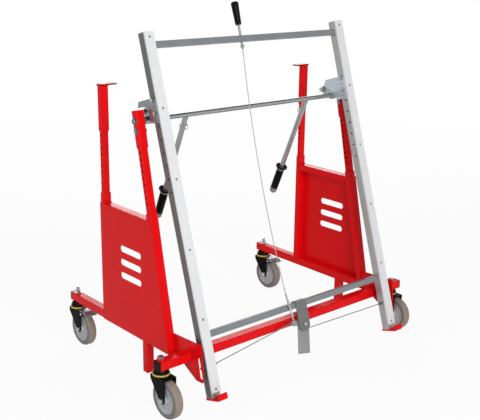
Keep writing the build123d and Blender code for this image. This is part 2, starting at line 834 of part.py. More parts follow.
# Rails of the tilting frame, drilled for pegs, latch pins, bracket bolts and strip screws
top_screw = strip_length - strip_screw_top
strip_screw_pitch = (top_screw - strip_screw_foot) / (strip_screw_count - 1)
strip_screw_places = [top_screw - index * strip_screw_pitch for index in range(strip_screw_count)]
peg_places = [(peg_hole_depth, peg_hole_top - index * peg_hole_pitch) for index in range(peg_hole_count)]
bracket_bolt_places = [(bracket_bolt_depth, pivot_on_rail + rise) for rise in bracket_bolt_rises]
rail_length = rail_foot + strip_length
for side, sign in SIDES:
    with BuildPart() as rail:
        with BuildSketch(rail_section.offset(-rail_foot)):
            with Locations((sign * rail_x, rail_mid)):
                tube_profile(rail_width, rail_depth, rail_wall)
        extrude(amount=rail_length)
        with BuildSketch(rail_side.offset(sign * rail_x - rail_width / 2)):
            with Locations(*peg_places):
                Circle(peg_hole / 2)
            with Locations(*bracket_bolt_places):
                Circle(small_bolt / 2 + bolt_clearance)
            with Locations((latch_pin_depth, latch_pin_at)):
                Circle(latch_pin / 2 + running_clearance)
        extrude(amount=rail_width, mode=Mode.SUBTRACT)
        with BuildSketch(rail_face.offset(-strip_thickness)):
            for place in strip_screw_places:
                with Locations((sign * rail_x, place)):
                    Circle(strip_screw_shank / 2)
        extrude(amount=-rail_wall, mode=Mode.SUBTRACT)
    keep(rail, f"rail_{side}")

# Wear strips on the rails' faces, and their countersunk screws
with BuildPart() as wear_strips:
    with BuildSketch(rail_face):
        with Locations((rail_x, strip_length / 2)):
            Rectangle(rail_width, strip_length)
    extrude(amount=-strip_thickness)
    with Locations(rail_face):
        for place in strip_screw_places:
            with Locations((rail_x, place)):
                CounterSinkHole(strip_screw_shank / 2, strip_screw_head / 2, counter_sink_angle=90)
    mirror(about=Plane.YZ)
keep(wear_strips, "wear_strips")

sink_depth = (strip_screw_head - strip_screw_shank) / 2
screw_tip = 4.0
screw_length = strip_thickness + rail_wall + screw_tip
at_top = (Align.CENTER, Align.CENTER, Align.MAX)
socket_radius = 1.7
socket_depth = 1.2
with BuildPart() as strip_screws:
    with Locations(rail_face):
        for place in strip_screw_places:
            with Locations((rail_x, place)):
                Cone(strip_screw_shank / 2, strip_screw_head / 2, sink_depth, align=at_top)
    with BuildSketch(rail_face.offset(-sink_depth)):
        for place in strip_screw_places:
            with Locations((rail_x, place)):
                Circle(strip_screw_shank / 2)
    extrude(amount=sink_depth - screw_length)
    with BuildSketch(rail_face):
        for place in strip_screw_places:
            with Locations((rail_x, place)):
                RegularPolygon(socket_radius, 6)
    extrude(amount=-socket_depth, mode=Mode.SUBTRACT)
    mirror(about=Plane.YZ)
keep(strip_screws, "strip_screws")

# Hooks under the rails, bent up in front to hold a panel's lower edge
with BuildPart() as hooks:
    with BuildSketch(rail_side.offset(rail_inner)):
        with BuildLine():
            Polyline(
                (rail_back + hook_back, -rail_foot),
                (-hook_mouth, -rail_foot),
                (-hook_mouth, -rail_foot - hook_plate + hook_lip),
                (-hook_reach, -rail_foot - hook_plate + hook_lip),
                (-hook_reach, -rail_foot - hook_plate),
                (rail_back + hook_back, -rail_foot - hook_plate),
                close=True,
            )
        make_face()
        fillet(vertices().sort_by_distance((-hook_reach, -rail_foot - hook_plate))[0], hook_bend)
    extrude(amount=rail_width)
    mirror(about=Plane.YZ)
keep(hooks, "hooks")

# Cross members between the rails
for name, place in (("top_cross_member", top_cross_at), ("bottom_cross_member", bottom_cross_at)):
    with BuildPart() as cross_member:
        with BuildSketch(rail_side.offset(-rail_inner)):
            with Locations((cross_depth, place)):
                tube_profile(cross_size, cross_size, cross_wall, cross_wall)
        extrude(amount=rail_gap)
        if name.startswith("top"):
            with BuildSketch(rail_section.offset(place - cross_size / 2)):
                with Locations((pull_side, cross_depth)):
                    Circle(pull_rod / 2 + slide_clearance)
            extrude(amount=cross_size, mode=Mode.SUBTRACT)
    keep(cross_member, name)


def near_pivot(back, up):
    """A point of the rail's side view, measured from the pivot."""
    return (pivot_setback + back, pivot_on_rail + up)


# Pivot brackets: folded plates that straddle each rail
cheek_overlap = 1.0
cheek_foot_drop = 20.0
cheek_shoulder_rise = 53.0
crown_lead = 54.0
crown_rise = 58.0
tail_lag = 10.0
tail_rise = 59.0
inner_tail_lag = 23.0
inner_tail_rise = 40.0
inner_waist_lead = 16.0
inner_waist_rise = 10.0
inner_hip_lead = 18.0
inner_hip_drop = 7.0
inner_toe_lead = 33.0
inner_toe_drop = 22.0
outer_tail_lag = 19.0
outer_tail_rise = 41.0
outer_knee_lead = 10.0
outer_knee_rise = 40.0
outer_edge_lead = 35.0
outer_edge_rise = 33.0
outer_edge_drop = 10.0
cheek_front = strip_thickness - cheek_overlap
cheek_foot = (cheek_front, pivot_on_rail - cheek_foot_drop)
cheek_shoulder = (cheek_front, pivot_on_rail + cheek_shoulder_rise)
crown = near_pivot(-crown_lead, crown_rise)
tail = near_pivot(tail_lag, tail_rise)
web_at = pivot_on_rail + crown_rise - bracket_plate
spare_hole = 6.0
spare_hole_drop = 20.0
inner_outline = (
    cheek_foot,
    cheek_shoulder,
    crown,
    tail,
    near_pivot(inner_tail_lag, inner_tail_rise),
    near_pivot(-inner_waist_lead, inner_waist_rise),
    near_pivot(-inner_hip_lead, -inner_hip_drop),
    near_pivot(-inner_toe_lead, -inner_toe_drop),
)
outer_outline = (
    cheek_foot,
    cheek_shoulder,
    crown,
    tail,
    near_pivot(outer_tail_lag, outer_tail_rise),
    near_pivot(-outer_knee_lead, outer_knee_rise),
    near_pivot(-outer_edge_lead, outer_edge_rise),
    near_pivot(-outer_edge_lead, -outer_edge_drop),
)
with BuildPart() as pivot_brackets:
    for outline, start in ((inner_outline, rail_inner - bracket_plate), (outer_outline, rail_outer)):
        with BuildSketch(rail_side.offset(start)):
            with BuildLine():
                Polyline(*outline, close=True)
            make_face()
            with Locations(*bracket_bolt_places):
                Circle(small_bolt / 2 + bolt_clearance, mode=Mode.SUBTRACT)
            with Locations(*[(depth, place - spare_hole_drop) for depth, place in bracket_bolt_places]):
                Circle(spare_hole / 2, mode=Mode.SUBTRACT)
        extrude(amount=bracket_plate)
    with BuildSketch(rail_section.offset(web_at)):
        with Locations((rail_x, (rail_back + pivot_setback) / 2)):
            Rectangle(rail_width, pivot_setback - rail_back)
    extrude(amount=bracket_plate)
    mirror(about=Plane.YZ)
keep(pivot_brackets, "pivot_brackets")

# Crossbar: a round bar with a lug, a pivot hub and a handle stub welded at each side
handle_x = handle_spread / 2
_, handle_section, handle_side = leaning_planes(pivot, -math.radians(handle_lean))
hub_end = rail_outer + bracket_plate
lug_bolt = 10.0
lug_nose = 14.0
lug_tail = 11.0
lug_top = 8.0
lug_top_lead = 19.0
lug_top_rise = 32.0
lug_bolt_at = near_pivot(lug_bolt_lag, lug_bolt_rise)
stub_radius = handle_diameter / 2 - handle_wall - bolt_clearance
with BuildPart() as crossbar:
    with BuildSketch(rail_side.offset(rail_inner)):
        with Locations(near_pivot(0, 0)):
            Circle(lug_nose)
        with Locations(lug_bolt_at):
            Circle(lug_tail)
        with Locations(near_pivot(-lug_top_lead, lug_top_rise)):
            Circle(lug_top)
        make_hull()
        with Locations(lug_bolt_at):
            Circle(lug_bolt / 2 + bolt_clearance, mode=Mode.SUBTRACT)
    extrude(amount=lug_plate)
    with BuildSketch(rail_side.offset(rail_inner + lug_plate)):
        with Locations(near_pivot(0, 0)):
            Circle(hub_outside / 2)
    extrude(amount=hub_end - rail_inner - lug_plate)
    with BuildSketch(rail_side.offset(rail_inner)):
        with Locations(near_pivot(0, 0)):
            Circle(pivot_bolt / 2 + running_clearance)
    extrude(amount=hub_end - rail_inner, mode=Mode.SUBTRACT)
    with BuildSketch(handle_section.offset(-stub_length)):
        with Locations((handle_x, 0)):
            Circle(stub_radius)
    extrude(amount=stub_length)
    with BuildSketch(handle_side.offset(handle_x - handle_diameter / 2)):
        with Locations((0, -handle_pin_at)):
            Circle(handle_pin / 2 + bolt_clearance)
    extrude(amount=handle_diameter, mode=Mode.SUBTRACT)
    mirror(about=Plane.YZ)
    with BuildSketch(rail_side.offset(-rail_inner)):
        with Locations(near_pivot(0, 0)):
            Circle(crossbar_diameter / 2)
    extrude(amount=rail_gap)
keep(crossbar, "crossbar")

# Handles: a tube pinned on each stub, with a flanged rubber grip
tube_top = crossbar_diameter / 2 + moving_gap
with BuildPart() as handle_tubes:
    with BuildSketch(handle_section.offset(-handle_length)):
        with Locations((handle_x, 0)):
            Circle(handle_diameter / 2)
            Circle(handle_diameter / 2 - handle_wall, mode=Mode.SUBTRACT)
    extrude(amount=handle_length - tube_top)
    with BuildSketch(handle_side.offset(handle_x - handle_diameter)):
        with Locations((0, -handle_pin_at)):
            Circle(handle_pin / 2 + bolt_clearance)
    extrude(amount=2 * handle_diameter, mode=Mode.SUBTRACT)
    mirror(about=Plane.YZ)
keep(handle_tubes, "handle_tubes")

grip_end = grip_start + grip_length
flange_height = 6.0
grip_round = 8.0
with BuildPart() as handle_grips:
    with BuildSketch(handle_section.offset(-grip_end)):
        with Locations((handle_x, 0)):
            Circle(grip_diameter / 2)
    extrude(amount=grip_length)
    fillet(faces().sort_by(Axis.Z)[0].edges(), grip_round)
    with BuildSketch(handle_section.offset(-grip_start - flange_height)):
        with Locations((handle_x, 0)):
            Circle(grip_flange / 2)
    extrude(amount=flange_height)
    with BuildSketch(handle_section.offset(-handle_length)):
        with Locations((handle_x, 0)):
            Circle(handle_diameter / 2)
    extrude(amount=handle_length - grip_start, mode=Mode.SUBTRACT)
    mirror(about=Plane.YZ)
keep(handle_grips, "handle_grips")

# Handle pins with their spring clips
pin_over = 8.0
handle_pin_head = 5.0
handle_pin_head_height = 3.0
clip_radius = 8.0
clip_wire = 1.2
pin_start = handle_x - handle_diameter / 2 - pin_over
pin_end = handle_x + handle_diameter / 2 + bolt_clearance
clip_plane = handle_side.offset(pin_start + 2 * clip_wire)
with BuildPart() as handle_pins:
    with BuildSketch(handle_side.offset(pin_start)):
        with Locations((0, -handle_pin_at)):
            Circle(handle_pin / 2)
    extrude(amount=pin_end - pin_start)
    with BuildSketch(handle_side.offset(pin_end)):
        with Locations((0, -handle_pin_at)):
            Circle(handle_pin_head)
    extrude(amount=handle_pin_head_height)
    with Locations(clip_plane):
        with Locations((0, -handle_pin_at - clip_radius)):
            Torus(clip_radius, clip_wire)
    mirror(about=Plane.YZ)
keep(handle_pins, "handle_pins")

# Latch plate, folded over the bottom cross member
cross_front = cross_depth - cross_size / 2
cross_back = cross_depth + cross_size / 2
bottom_cross_top = bottom_cross_at + cross_size / 2
plate_front = cross_front - latch_plate_thickness
lever_front = cross_front + lever_gap
lever_back = lever_front + lever_plate
plate_hole = 5.0
plate_hole_inset = 6.0
plate_hole_drop = 34.0
plate_hole_x = latch_plate_width / 2 - plate_hole_inset
plate_hole_at = bottom_cross_top - plate_hole_drop
with BuildPart() as latch_plate:
    with BuildSketch(rail_face.offset(-plate_front)):
        with Locations((0, lever_pivot_at)):
            Circle(latch_plate_width / 2)
        with Locations((0, (lever_pivot_at + bottom_cross_top) / 2)):
            Rectangle(latch_plate_width, bottom_cross_top - lever_pivot_at)
        with Locations((0, lever_pivot_at)):
            Circle(small_bolt / 2 + bolt_clearance, mode=Mode.SUBTRACT)
        with Locations((-plate_hole_x, plate_hole_at), (plate_hole_x, plate_hole_at)):
            Circle(plate_hole / 2, mode=Mode.SUBTRACT)
    extrude(amount=-latch_plate_thickness)
    with BuildSketch(rail_section.offset(bottom_cross_top)):
        with Locations((0, (plate_front + cross_back) / 2)):
            Rectangle(latch_plate_width, cross_back - plate_front)
    extrude(amount=latch_plate_thickness)
keep(latch_plate, "latch_plate")

# Bolts of the tilting frame: bracket bolts, lug bolts and the lever's pivot bolt
lug_head_radius = 9.0
lug_head_height = 8.0
lug_washer = 10.0
spacer = 7.0
pivot_nut_back = lever_back + moving_gap + bolt_head_height
with BuildPart() as frame_bolts:
    for place in bracket_bolt_places:
        with BuildSketch(rail_side.offset(rail_inner - bracket_plate)):
            with Locations(place):
                Circle(small_bolt / 2)
        extrude(amount=rail_width + 2 * bracket_plate)
        for start in (rail_inner - bracket_plate - bolt_head_height, rail_outer + bracket_plate):
            with BuildSketch(rail_side.offset(start)):
                with Locations(place):
                    RegularPolygon(bolt_head, 6)
            extrude(amount=bolt_head_height)
    with BuildSketch(rail_side.offset(rail_inner - washer_height)):
        with Locations(lug_bolt_at):
            Circle(lug_washer)
    extrude(amount=washer_height)
    with BuildSketch(rail_side.offset(rail_inner - washer_height - lug_head_height)):
        with Locations(lug_bolt_at):
            RegularPolygon(lug_head_radius, 6)
    extrude(amount=lug_head_height)
    with BuildSketch(rail_side.offset(rail_inner)):
        with Locations(lug_bolt_at):
            Circle(lug_bolt / 2)
    extrude(amount=lug_plate)
    with BuildSketch(rail_side.offset(rail_inner + lug_plate)):
        with Locations(lug_bolt_at):
            RegularPolygon(lug_head_radius, 6)
    extrude(amount=lug_head_height)
    mirror(about=Plane.YZ)
    for depth, radius, height in (
        (plate_front, bolt_head, bolt_head_height),
        (lever_front - moving_gap, spacer, lever_gap - moving_gap),
        (pivot_nut_back, bolt_head, bolt_head_height),
    ):
        with BuildSketch(rail_face.offset(-depth)):
            with Locations((0, lever_pivot_at)):
                RegularPolygon(radius, 6)
        extrude(amount=height)
    with BuildSketch(rail_face.offset(-plate_front)):
        with Locations((0, lever_pivot_at)):
            Circle(small_bolt / 2)
    extrude(amount=plate_front - pivot_nut_back)
keep(frame_bolts, "frame_bolts")

# Pull: a rod through the top cross member, with its grip above and an eye below
pull_axis = Axis(on_rail(pull_side, 0, cross_depth), rail_up)
top_cross_top = top_cross_at + cross_size / 2
top_cross_bottom = top_cross_at - cross_size / 2
grip_foot = top_cross_top + pull_rest_gap
rod_in_grip = 24.0
eye_at = top_cross_bottom - cable_eye_drop
eye_radius = 7.0
eye_bore = 3.5
eye_plate = 4.0
rod_foot = eye_at + (eye_radius + eye_bore) / 2
with BuildPart() as pull_rod_part:
    with BuildSketch(rail_section.offset(rod_foot)):
        with Locations((pull_side, cross_depth)):
            Circle(pull_rod / 2)
    extrude(amount=grip_foot + rod_in_grip - rod_foot)
    with BuildSketch(rail_face.offset(-cross_depth - eye_plate / 2)):
        with Locations((pull_side, eye_at)):
            Circle(eye_radius)
    extrude(amount=eye_plate)
    with BuildSketch(rail_face.offset(-cross_depth - eye_radius)):
        with Locations((pull_side, eye_at)):
            Circle(eye_bore)
    extrude(amount=2 * eye_radius, mode=Mode.SUBTRACT)
keep(pull_rod_part, "pull_rod")

grip_dome = 5.0
with BuildPart() as pull_grip:
    with BuildSketch(rail_face.offset(-cross_depth)):
        with BuildLine():
            Polyline(
                (pull_side + pull_rod / 2, grip_foot),
                (pull_side + pull_grip_foot / 2, grip_foot),
                (pull_side + pull_grip_top / 2, grip_foot + pull_grip_length),
                (pull_side, grip_foot + pull_grip_length),
                (pull_side, grip_foot + rod_in_grip),
                (pull_side + pull_rod / 2, grip_foot + rod_in_grip),
                close=True,
            )
        make_face()
    revolve(axis=pull_axis)
    fillet(faces().sort_by(Axis.Z)[-1].edges(), grip_dome)
keep(pull_grip, "pull_grip")

# Release cable, a steel wire that bows back a little on its way down to the turnbuckle
turnbuckle_depth = cross_front - turnbuckle_gap - turnbuckle_diameter / 2
turnbuckle_lean = 15.0
turnbuckle_side = -lever_arm - turnbuckle_lean
cable_start = on_rail(pull_side, eye_at - eye_radius - turnbuckle_gap, cross_depth)
cable_end = on_rail(turnbuckle_side, turnbuckle_top, turnbuckle_depth)
cable_middle = (cable_start + cable_end) / 2 + on_rail(0, 0, cable_bow) - on_rail(0, 0, 0)
with BuildPart() as release_cable:
    with BuildLine():
        cable_line = ThreePointArc(cable_start, cable_middle, cable_end)
    with BuildSketch(Plane(cable_start, z_dir=cable_line % 0)):
        Circle(wire_diameter / 2)
    sweep()
keep(release_cable, "release_cable")

# Turnbuckle, with an eye over the lever arm's pin
arm_point = (-lever_arm, lever_pivot_at + lever_arm_rise)
eye_wall = (cable_eye - cable_eye_bore) / 2
buckle_start = on_rail(arm_point[0], arm_point[1] + cable_eye / 2 - eye_wall / 2, turnbuckle_depth)
buckle_run = cable_end - buckle_start
buckle_length = buckle_run.length - turnbuckle_gap
buckle_plane = Plane(buckle_start, z_dir=buckle_run)
buckle_nut_height = 5.0
lower_nut = 12.0
upper_nut_drop = 20.0
upper_nut = buckle_length - upper_nut_drop
eye_thickness = 5.0
with BuildPart() as turnbuckle:
    with BuildSketch(rail_face.offset(-turnbuckle_depth - eye_thickness / 2)):
        with Locations(arm_point):
            Circle(cable_eye / 2)
    extrude(amount=eye_thickness)
    with BuildSketch(buckle_plane):
        Circle(wire_diameter)
    extrude(amount=buckle_length)
    for start in (lower_nut, upper_nut):
        with BuildSketch(buckle_plane.offset(start)):
            RegularPolygon(turnbuckle_diameter / 2, 6)
        extrude(amount=buckle_nut_height)
    with BuildSketch(rail_face.offset(-turnbuckle_depth - eye_thickness)):
        with Locations(arm_point):
            Circle(cable_eye_bore / 2)
    extrude(amount=2 * eye_thickness, mode=Mode.SUBTRACT)
keep(turnbuckle, "turnbuckle")

# Release lever behind the latch plate: two slotted horns, an arm with a pin, and a foot plate
lever_turn = math.radians(lever_rest)
arm_length = math.hypot(lever_arm, lever_arm_rise)
arm_angle = math.degrees(math.atan2(lever_arm_rise, -lever_arm))
horn_middle = lever_horn + lever_slot_travel / 2 - moving_gap
horn_width = 26.0
horn_edge = 7.0
horn_height = 2 * (lever_horn + lever_slot_travel + horn_edge)
arm_width = 15.0
strip_middle = pedal_strip_length / 2
strip_x = -strip_middle * math.sin(lever_turn)
strip_at = lever_pivot_at - strip_middle * math.cos(lever_turn)
arm_head_lip = 1.6
arm_head = cable_eye_bore / 2 + arm_head_lip
arm_head_height = 1.5
arm_head_gap = 0.8
arm_head_back = turnbuckle_depth - eye_thickness / 2 - arm_head_gap
with BuildPart() as release_lever:
    with BuildSketch(rail_face.offset(-lever_front)):
        with Locations((0, lever_pivot_at)):
            SlotOverall(horn_height, horn_width, rotation=90)
        with Locations((-lever_arm / 2, lever_pivot_at + lever_arm_rise / 2)):
            SlotCenterToCenter(arm_length, arm_width, rotation=arm_angle)
        with Locations((strip_x, strip_at)):
            Rectangle(pedal_strip_width, pedal_strip_length, rotation=-lever_rest)
        with Locations((0, lever_pivot_at + horn_middle), (0, lever_pivot_at - horn_middle)):
            SlotCenterToCenter(lever_slot_travel, 2 * wire_diameter, rotation=90, mode=Mode.SUBTRACT)
        with Locations((0, lever_pivot_at)):
            Circle(small_bolt / 2 + running_clearance, mode=Mode.SUBTRACT)
    extrude(amount=-lever_plate)
    with BuildSketch(rail_face.offset(-lever_front)):
        with Locations(arm_point):
            Circle(arm_pin / 2)
    extrude(amount=lever_front - arm_head_back)
    with BuildSketch(rail_face.offset(-arm_head_back)):
        with Locations(arm_point):
            Circle(arm_head)
    extrude(amount=arm_head_height)
keep(release_lever, "release_lever")

# Latch pins through the rails, each drawn in by a wire that hooks into the lever
wire_depth = lever_back + wire_back
spring_start = rail_inner + rail_wall
collar_start = spring_start + latch_spring_length + moving_gap
pin_inner = rail_inner - latch_pin_inner
wire_in_pin = 2.0
stub_inset = 1.0
stub_front = cross_front + stub_inset
for side, sign in SIDES:
    hook_at = lever_pivot_at - sign * lever_horn
    wire_start = on_rail(sign * (pin_inner + wire_in_pin), latch_pin_at, latch_pin_depth)
    wire_end = on_rail(0, hook_at, wire_depth)
    wire_run = wire_end - wire_start
    with BuildPart() as latch_bolt:
        with BuildSketch(rail_side.offset(sign * pin_inner)):
            with Locations((latch_pin_depth, latch_pin_at)):
                Circle(latch_pin / 2)
        extrude(amount=sign * (rail_outer + latch_pin_tip - pin_inner))
        with BuildSketch(rail_side.offset(sign * collar_start)):
            with Locations((latch_pin_depth, latch_pin_at)):
                Circle(latch_collar / 2)
        extrude(amount=sign * latch_collar_length)
        with BuildSketch(Plane(wire_start, z_dir=wire_run)):
            Circle(wire_diameter / 2)
        extrude(amount=wire_run.length)
        with BuildSketch(rail_face.offset(-wire_depth - wire_diameter / 2)):
            with Locations((0, hook_at)):
                Circle(wire_diameter / 2)
        extrude(amount=wire_depth + wire_diameter / 2 - stub_front)
    keep(latch_bolt, f"latch_bolt_{side}")

# Springs round the latch pins inside the rails, as closed sleeves of their compressed size
spring_outside = 15.0
spring_inside = 10.8
with BuildPart() as latch_springs:
    with BuildSketch(rail_side.offset(spring_start)):
        with Locations((latch_pin_depth, latch_pin_at)):
            Circle(spring_outside / 2)
            Circle(spring_inside / 2, mode=Mode.SUBTRACT)
    extrude(amount=latch_spring_length)
    mirror(about=Plane.YZ)
keep(latch_springs, "latch_springs")
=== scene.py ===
import json
import math

import bmesh
import bpy
from mathutils import Matrix, Vector


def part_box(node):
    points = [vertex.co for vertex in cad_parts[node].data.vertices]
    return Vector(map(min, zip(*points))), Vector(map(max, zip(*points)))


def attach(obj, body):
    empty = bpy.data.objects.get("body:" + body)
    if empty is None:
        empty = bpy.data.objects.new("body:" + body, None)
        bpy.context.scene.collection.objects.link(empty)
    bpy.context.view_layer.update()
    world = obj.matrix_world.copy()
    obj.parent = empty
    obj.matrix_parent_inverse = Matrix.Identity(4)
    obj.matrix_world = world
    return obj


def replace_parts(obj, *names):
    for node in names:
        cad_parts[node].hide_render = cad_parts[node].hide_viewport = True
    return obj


# Tilting panel cart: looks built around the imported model.
# Places are in metres, and the sizes of the added pieces are in millimetres.
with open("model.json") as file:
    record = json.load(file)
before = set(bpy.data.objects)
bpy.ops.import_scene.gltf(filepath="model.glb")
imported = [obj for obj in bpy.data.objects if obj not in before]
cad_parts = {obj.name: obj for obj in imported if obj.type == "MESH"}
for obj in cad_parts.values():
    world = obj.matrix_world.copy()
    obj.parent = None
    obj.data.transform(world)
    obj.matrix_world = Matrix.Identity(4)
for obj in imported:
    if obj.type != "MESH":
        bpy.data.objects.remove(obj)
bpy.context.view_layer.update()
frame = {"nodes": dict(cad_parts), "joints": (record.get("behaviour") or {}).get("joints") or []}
nodes = frame["nodes"]
joints = {joint["name"]: joint for joint in frame["joints"]}
scene = bpy.context.scene
MM = 0.001
FULL_TURN = 2.0 * math.pi
UP = Vector((0.0, 0.0, 1.0))
RIGHT = Vector((1.0, 0.0, 0.0))
BACK = Vector((0.0, 1.0, 0.0))
SIDES = (("left", -1), ("right", 1))
CASTORS = ("front_left", "front_right", "rear_left", "rear_right")

# Camera at the photograph's viewing angle
EYE = Vector((-1.9837, -2.2727, 1.3857))
FORWARD = Vector((0.6296, 0.7243, -0.2810)).normalized()
YAW = math.radians(-41.0)
ROLL = math.radians(-0.80)
LENS_MM = 66.8055
SENSOR_MM = 36.0
FAR_CLIP = 50.0


def add_camera():
    """Puts the camera where the photograph was taken from."""
    level = Vector((math.cos(YAW), math.sin(YAW), 0.0))
    level = (level - FORWARD * level.dot(FORWARD)).normalized()
    down = FORWARD.cross(level)
    right = level * math.cos(ROLL) + down * math.sin(ROLL)
    down = down * math.cos(ROLL) - level * math.sin(ROLL)
    data = bpy.data.cameras.new("camera")
    data.lens = LENS_MM
    data.sensor_width = SENSOR_MM
    data.clip_end = FAR_CLIP
    camera = bpy.data.objects.new("camera", data)
    turn = Matrix((right, -down, -FORWARD)).transposed().to_4x4()
    camera.matrix_world = Matrix.Translation(EYE) @ turn
    scene.collection.objects.link(camera)
    scene.camera = camera


add_camera()

# Materials: lengths in them are in metres
BEVEL_SAMPLES = 6
NOISE_MIDDLE = (0.3, 0.7)
WHOLE = (0.0, 1.0)
# A colour mix node's own sockets, by number because its other kinds share their names
MIX_AMOUNT, MIX_FIRST, MIX_SECOND, MIX_RESULT = 0, 6, 7, 2


class Graph:
    """A node tree with short calls for the nodes that are used here."""

    def __init__(self, tree):
        self.tree = tree

    def node(self, kind, **settings):
        """Makes a node and sets its properties."""
        made = self.tree.nodes.new(kind)
        for key, value in settings.items():
            setattr(made, key, value)
        return made

    def link(self, source, target):
        """Links an output to an input."""
        self.tree.links.new(source, target)

    def feed(self, value, socket):
        """Links an output to an input, or sets a plain number or colour there."""
        if isinstance(value, bpy.types.NodeSocket):
            self.link(value, socket)
        elif isinstance(value, tuple):
            socket.default_value = (*value, 1.0)
        else:
            socket.default_value = value

    def maths(self, operation, *values):
        """The result of an operation on one or two numbers."""
        made = self.node("ShaderNodeMath", operation=operation)
        for value, socket in zip(values, made.inputs):
            self.link(value, socket)
        return made.outputs[0]

    def measure(self, operation, *vectors):
        """The number that an operation gives for one or two vectors."""
        made = self.node("ShaderNodeVectorMath", operation=operation)
        for vector, socket in zip(vectors, made.inputs):
            self.link(vector, socket)
        return made.outputs["Value"]

    def part(self, vector, axis):
        """A vector's part along X, Y or Z."""
        split = self.node("ShaderNodeSeparateXYZ")
        self.link(vector, split.inputs["Vector"])
        return split.outputs[axis]

    def span(self, value, low, high, source=NOISE_MIDDLE, **settings):
        """Maps a range of a value onto another range."""
        made = self.node("ShaderNodeMapRange", **settings)
        made.inputs["From Min"].default_value = source[0]
        made.inputs["From Max"].default_value = source[1]
        made.inputs["To Min"].default_value = low
        self.feed(high, made.inputs["To Max"])
        self.link(value, made.inputs["Value"])
        return made.outputs["Result"]

    def background_rays(self):
        """One for the rays that see the background: camera, glossy and transmission."""
        path = self.node("ShaderNodeLightPath")
        total = path.outputs["Is Camera Ray"]
        for ray in ("Is Glossy Ray", "Is Transmission Ray"):
            total = self.maths("MAXIMUM", total, path.outputs[ray])
        return total


class Look(Graph):
    """A material's nodes, with the patterns that the finishes are mixed from."""

    def __init__(self, name):
        self.material = bpy.data.materials.new(name)
        self.material.use_nodes = True
        super().__init__(self.material.node_tree)
        self.tree.nodes.clear()
        self.out = self.node("ShaderNodeOutputMaterial")
        coordinates = self.node("ShaderNodeTexCoord")
        self.place = coordinates.outputs["Object"]
        self.facing = coordinates.outputs["Normal"]

    def stretched(self, scale, turn):
        """Object coordinates, turned and then scaled, so that a pattern draws out along a member."""
        rotate = self.node("ShaderNodeMapping")
        rotate.inputs["Rotation"].default_value = turn
        self.link(self.place, rotate.inputs["Vector"])
        mapping = self.node("ShaderNodeMapping")
        mapping.inputs["Scale"].default_value = scale
        self.link(rotate.outputs["Vector"], mapping.inputs["Vector"])
        return mapping.outputs["Vector"]

    def noise(self, scale, detail=3.0, rough=0.5, vector=None):
        """Cloudy noise between zero and one."""
        made = self.node("ShaderNodeTexNoise")
        made.inputs["Scale"].default_value = scale
        made.inputs["Detail"].default_value = detail
        made.inputs["Roughness"].default_value = rough
        self.link(vector or self.place, made.inputs["Vector"])
        return made.outputs["Fac"]

    def flakes(self, scale):
        """Two random numbers for each cell of a crystal pattern."""
        cells = self.node("ShaderNodeTexVoronoi", feature="F1")
        cells.inputs["Scale"].default_value = scale
        self.link(self.place, cells.inputs["Vector"])
        split = self.node("ShaderNodeSeparateColor")
        self.link(cells.outputs["Color"], split.inputs["Color"])
        return split.outputs["Red"], split.outputs["Green"]

    def ramp(self, value, low, high, source=NOISE_MIDDLE):
        """A colour between two others."""
        made = self.node("ShaderNodeValToRGB")
        for element, position, colour in zip(made.color_ramp.elements, source, (low, high)):
            element.position = position
            element.color = (*colour, 1.0)
        self.link(value, made.inputs["Fac"])
        return made.outputs["Color"]

    def mixed(self, amount, first, second):
        """Two colours, mixed by an amount."""
        made = self.node("ShaderNodeMix", data_type="RGBA")
        self.link(amount, made.inputs[MIX_AMOUNT])
        self.feed(first, made.inputs[MIX_FIRST])
        self.feed(second, made.inputs[MIX_SECOND])
        return made.outputs[MIX_RESULT]

    def rounded(self, radius):
        """A normal that rolls over the edges, so that they catch the light."""
        bevel = self.node("ShaderNodeBevel", samples=BEVEL_SAMPLES)
        bevel.inputs["Radius"].default_value = radius
        return bevel.outputs["Normal"]

    def edges(self, radius, softness=0.25):
        """How near a surface point is to an outer edge."""
        geometry = self.node("ShaderNodeNewGeometry")
        agreement = self.measure("DOT_PRODUCT", self.rounded(radius), geometry.outputs["Normal"])
        return self.span(agreement, 1.0, 0.0, (1.0 - softness, 1.0))

    def edge_tone(self, tone, radius, amount, colour):
        """A tone with another colour along the outer edges."""
        return self.mixed(self.span(self.edges(radius), 0.0, amount, WHOLE), tone, colour)

    def outer_shade_mask(self):
        """Mask for painted shade: one on the rails' outer sides and beyond, and zero nearer to the cart's
        middle plane.
        """
        across = self.maths("ABSOLUTE", self.part(self.place, "X"))
        return self.span(across, 0.0, 1.0, OUTER_SHADE_SPAN)

    def bump(self, height, distance, strength, below=None):
        """A normal with fine relief."""
        made = self.node("ShaderNodeBump")
        made.inputs["Distance"].default_value = distance
        made.inputs["Strength"].default_value = strength
        self.link(height, made.inputs["Height"])
        if below is not None:
            self.link(below, made.inputs["Normal"])
        return made.outputs["Normal"]

    def finish(self, colour, rough, normal, metallic=0.0, specular=0.5):
        """Puts the shader together and gives the material."""
        shader = self.node("ShaderNodeBsdfPrincipled")
        shader.inputs["Metallic"].default_value = metallic
        shader.inputs["Specular IOR Level"].default_value = specular
        self.link(colour, shader.inputs["Base Color"])
        self.link(rough, shader.inputs["Roughness"])
        self.link(normal, shader.inputs["Normal"])
        self.link(shader.outputs["BSDF"], self.out.inputs["Surface"])
        return self.material


RAIL_TILT = math.radians(17.31)
POST_SLANT = math.radians(12.0)
HANDLE_LEAN = math.radians(-23.5)
# Distances across at which the painted shade on the outer sides fades in
OUTER_SHADE_SPAN = (430.5 * MM, 431.2 * MM)
ALONG_RAIL = (RAIL_TILT, 0.0, 0.0)
ALONG_HANDLE = (HANDLE_LEAN, 0.0, 0.0)
LEVEL = (0.0, 0.0, 0.0)
NO_STRETCH = (1.0, 1.0, 1.0)
STRETCHED_ACROSS = (0.04, 1.0, 1.0)
STRETCHED_UP = (1.0, 1.0, 0.02)


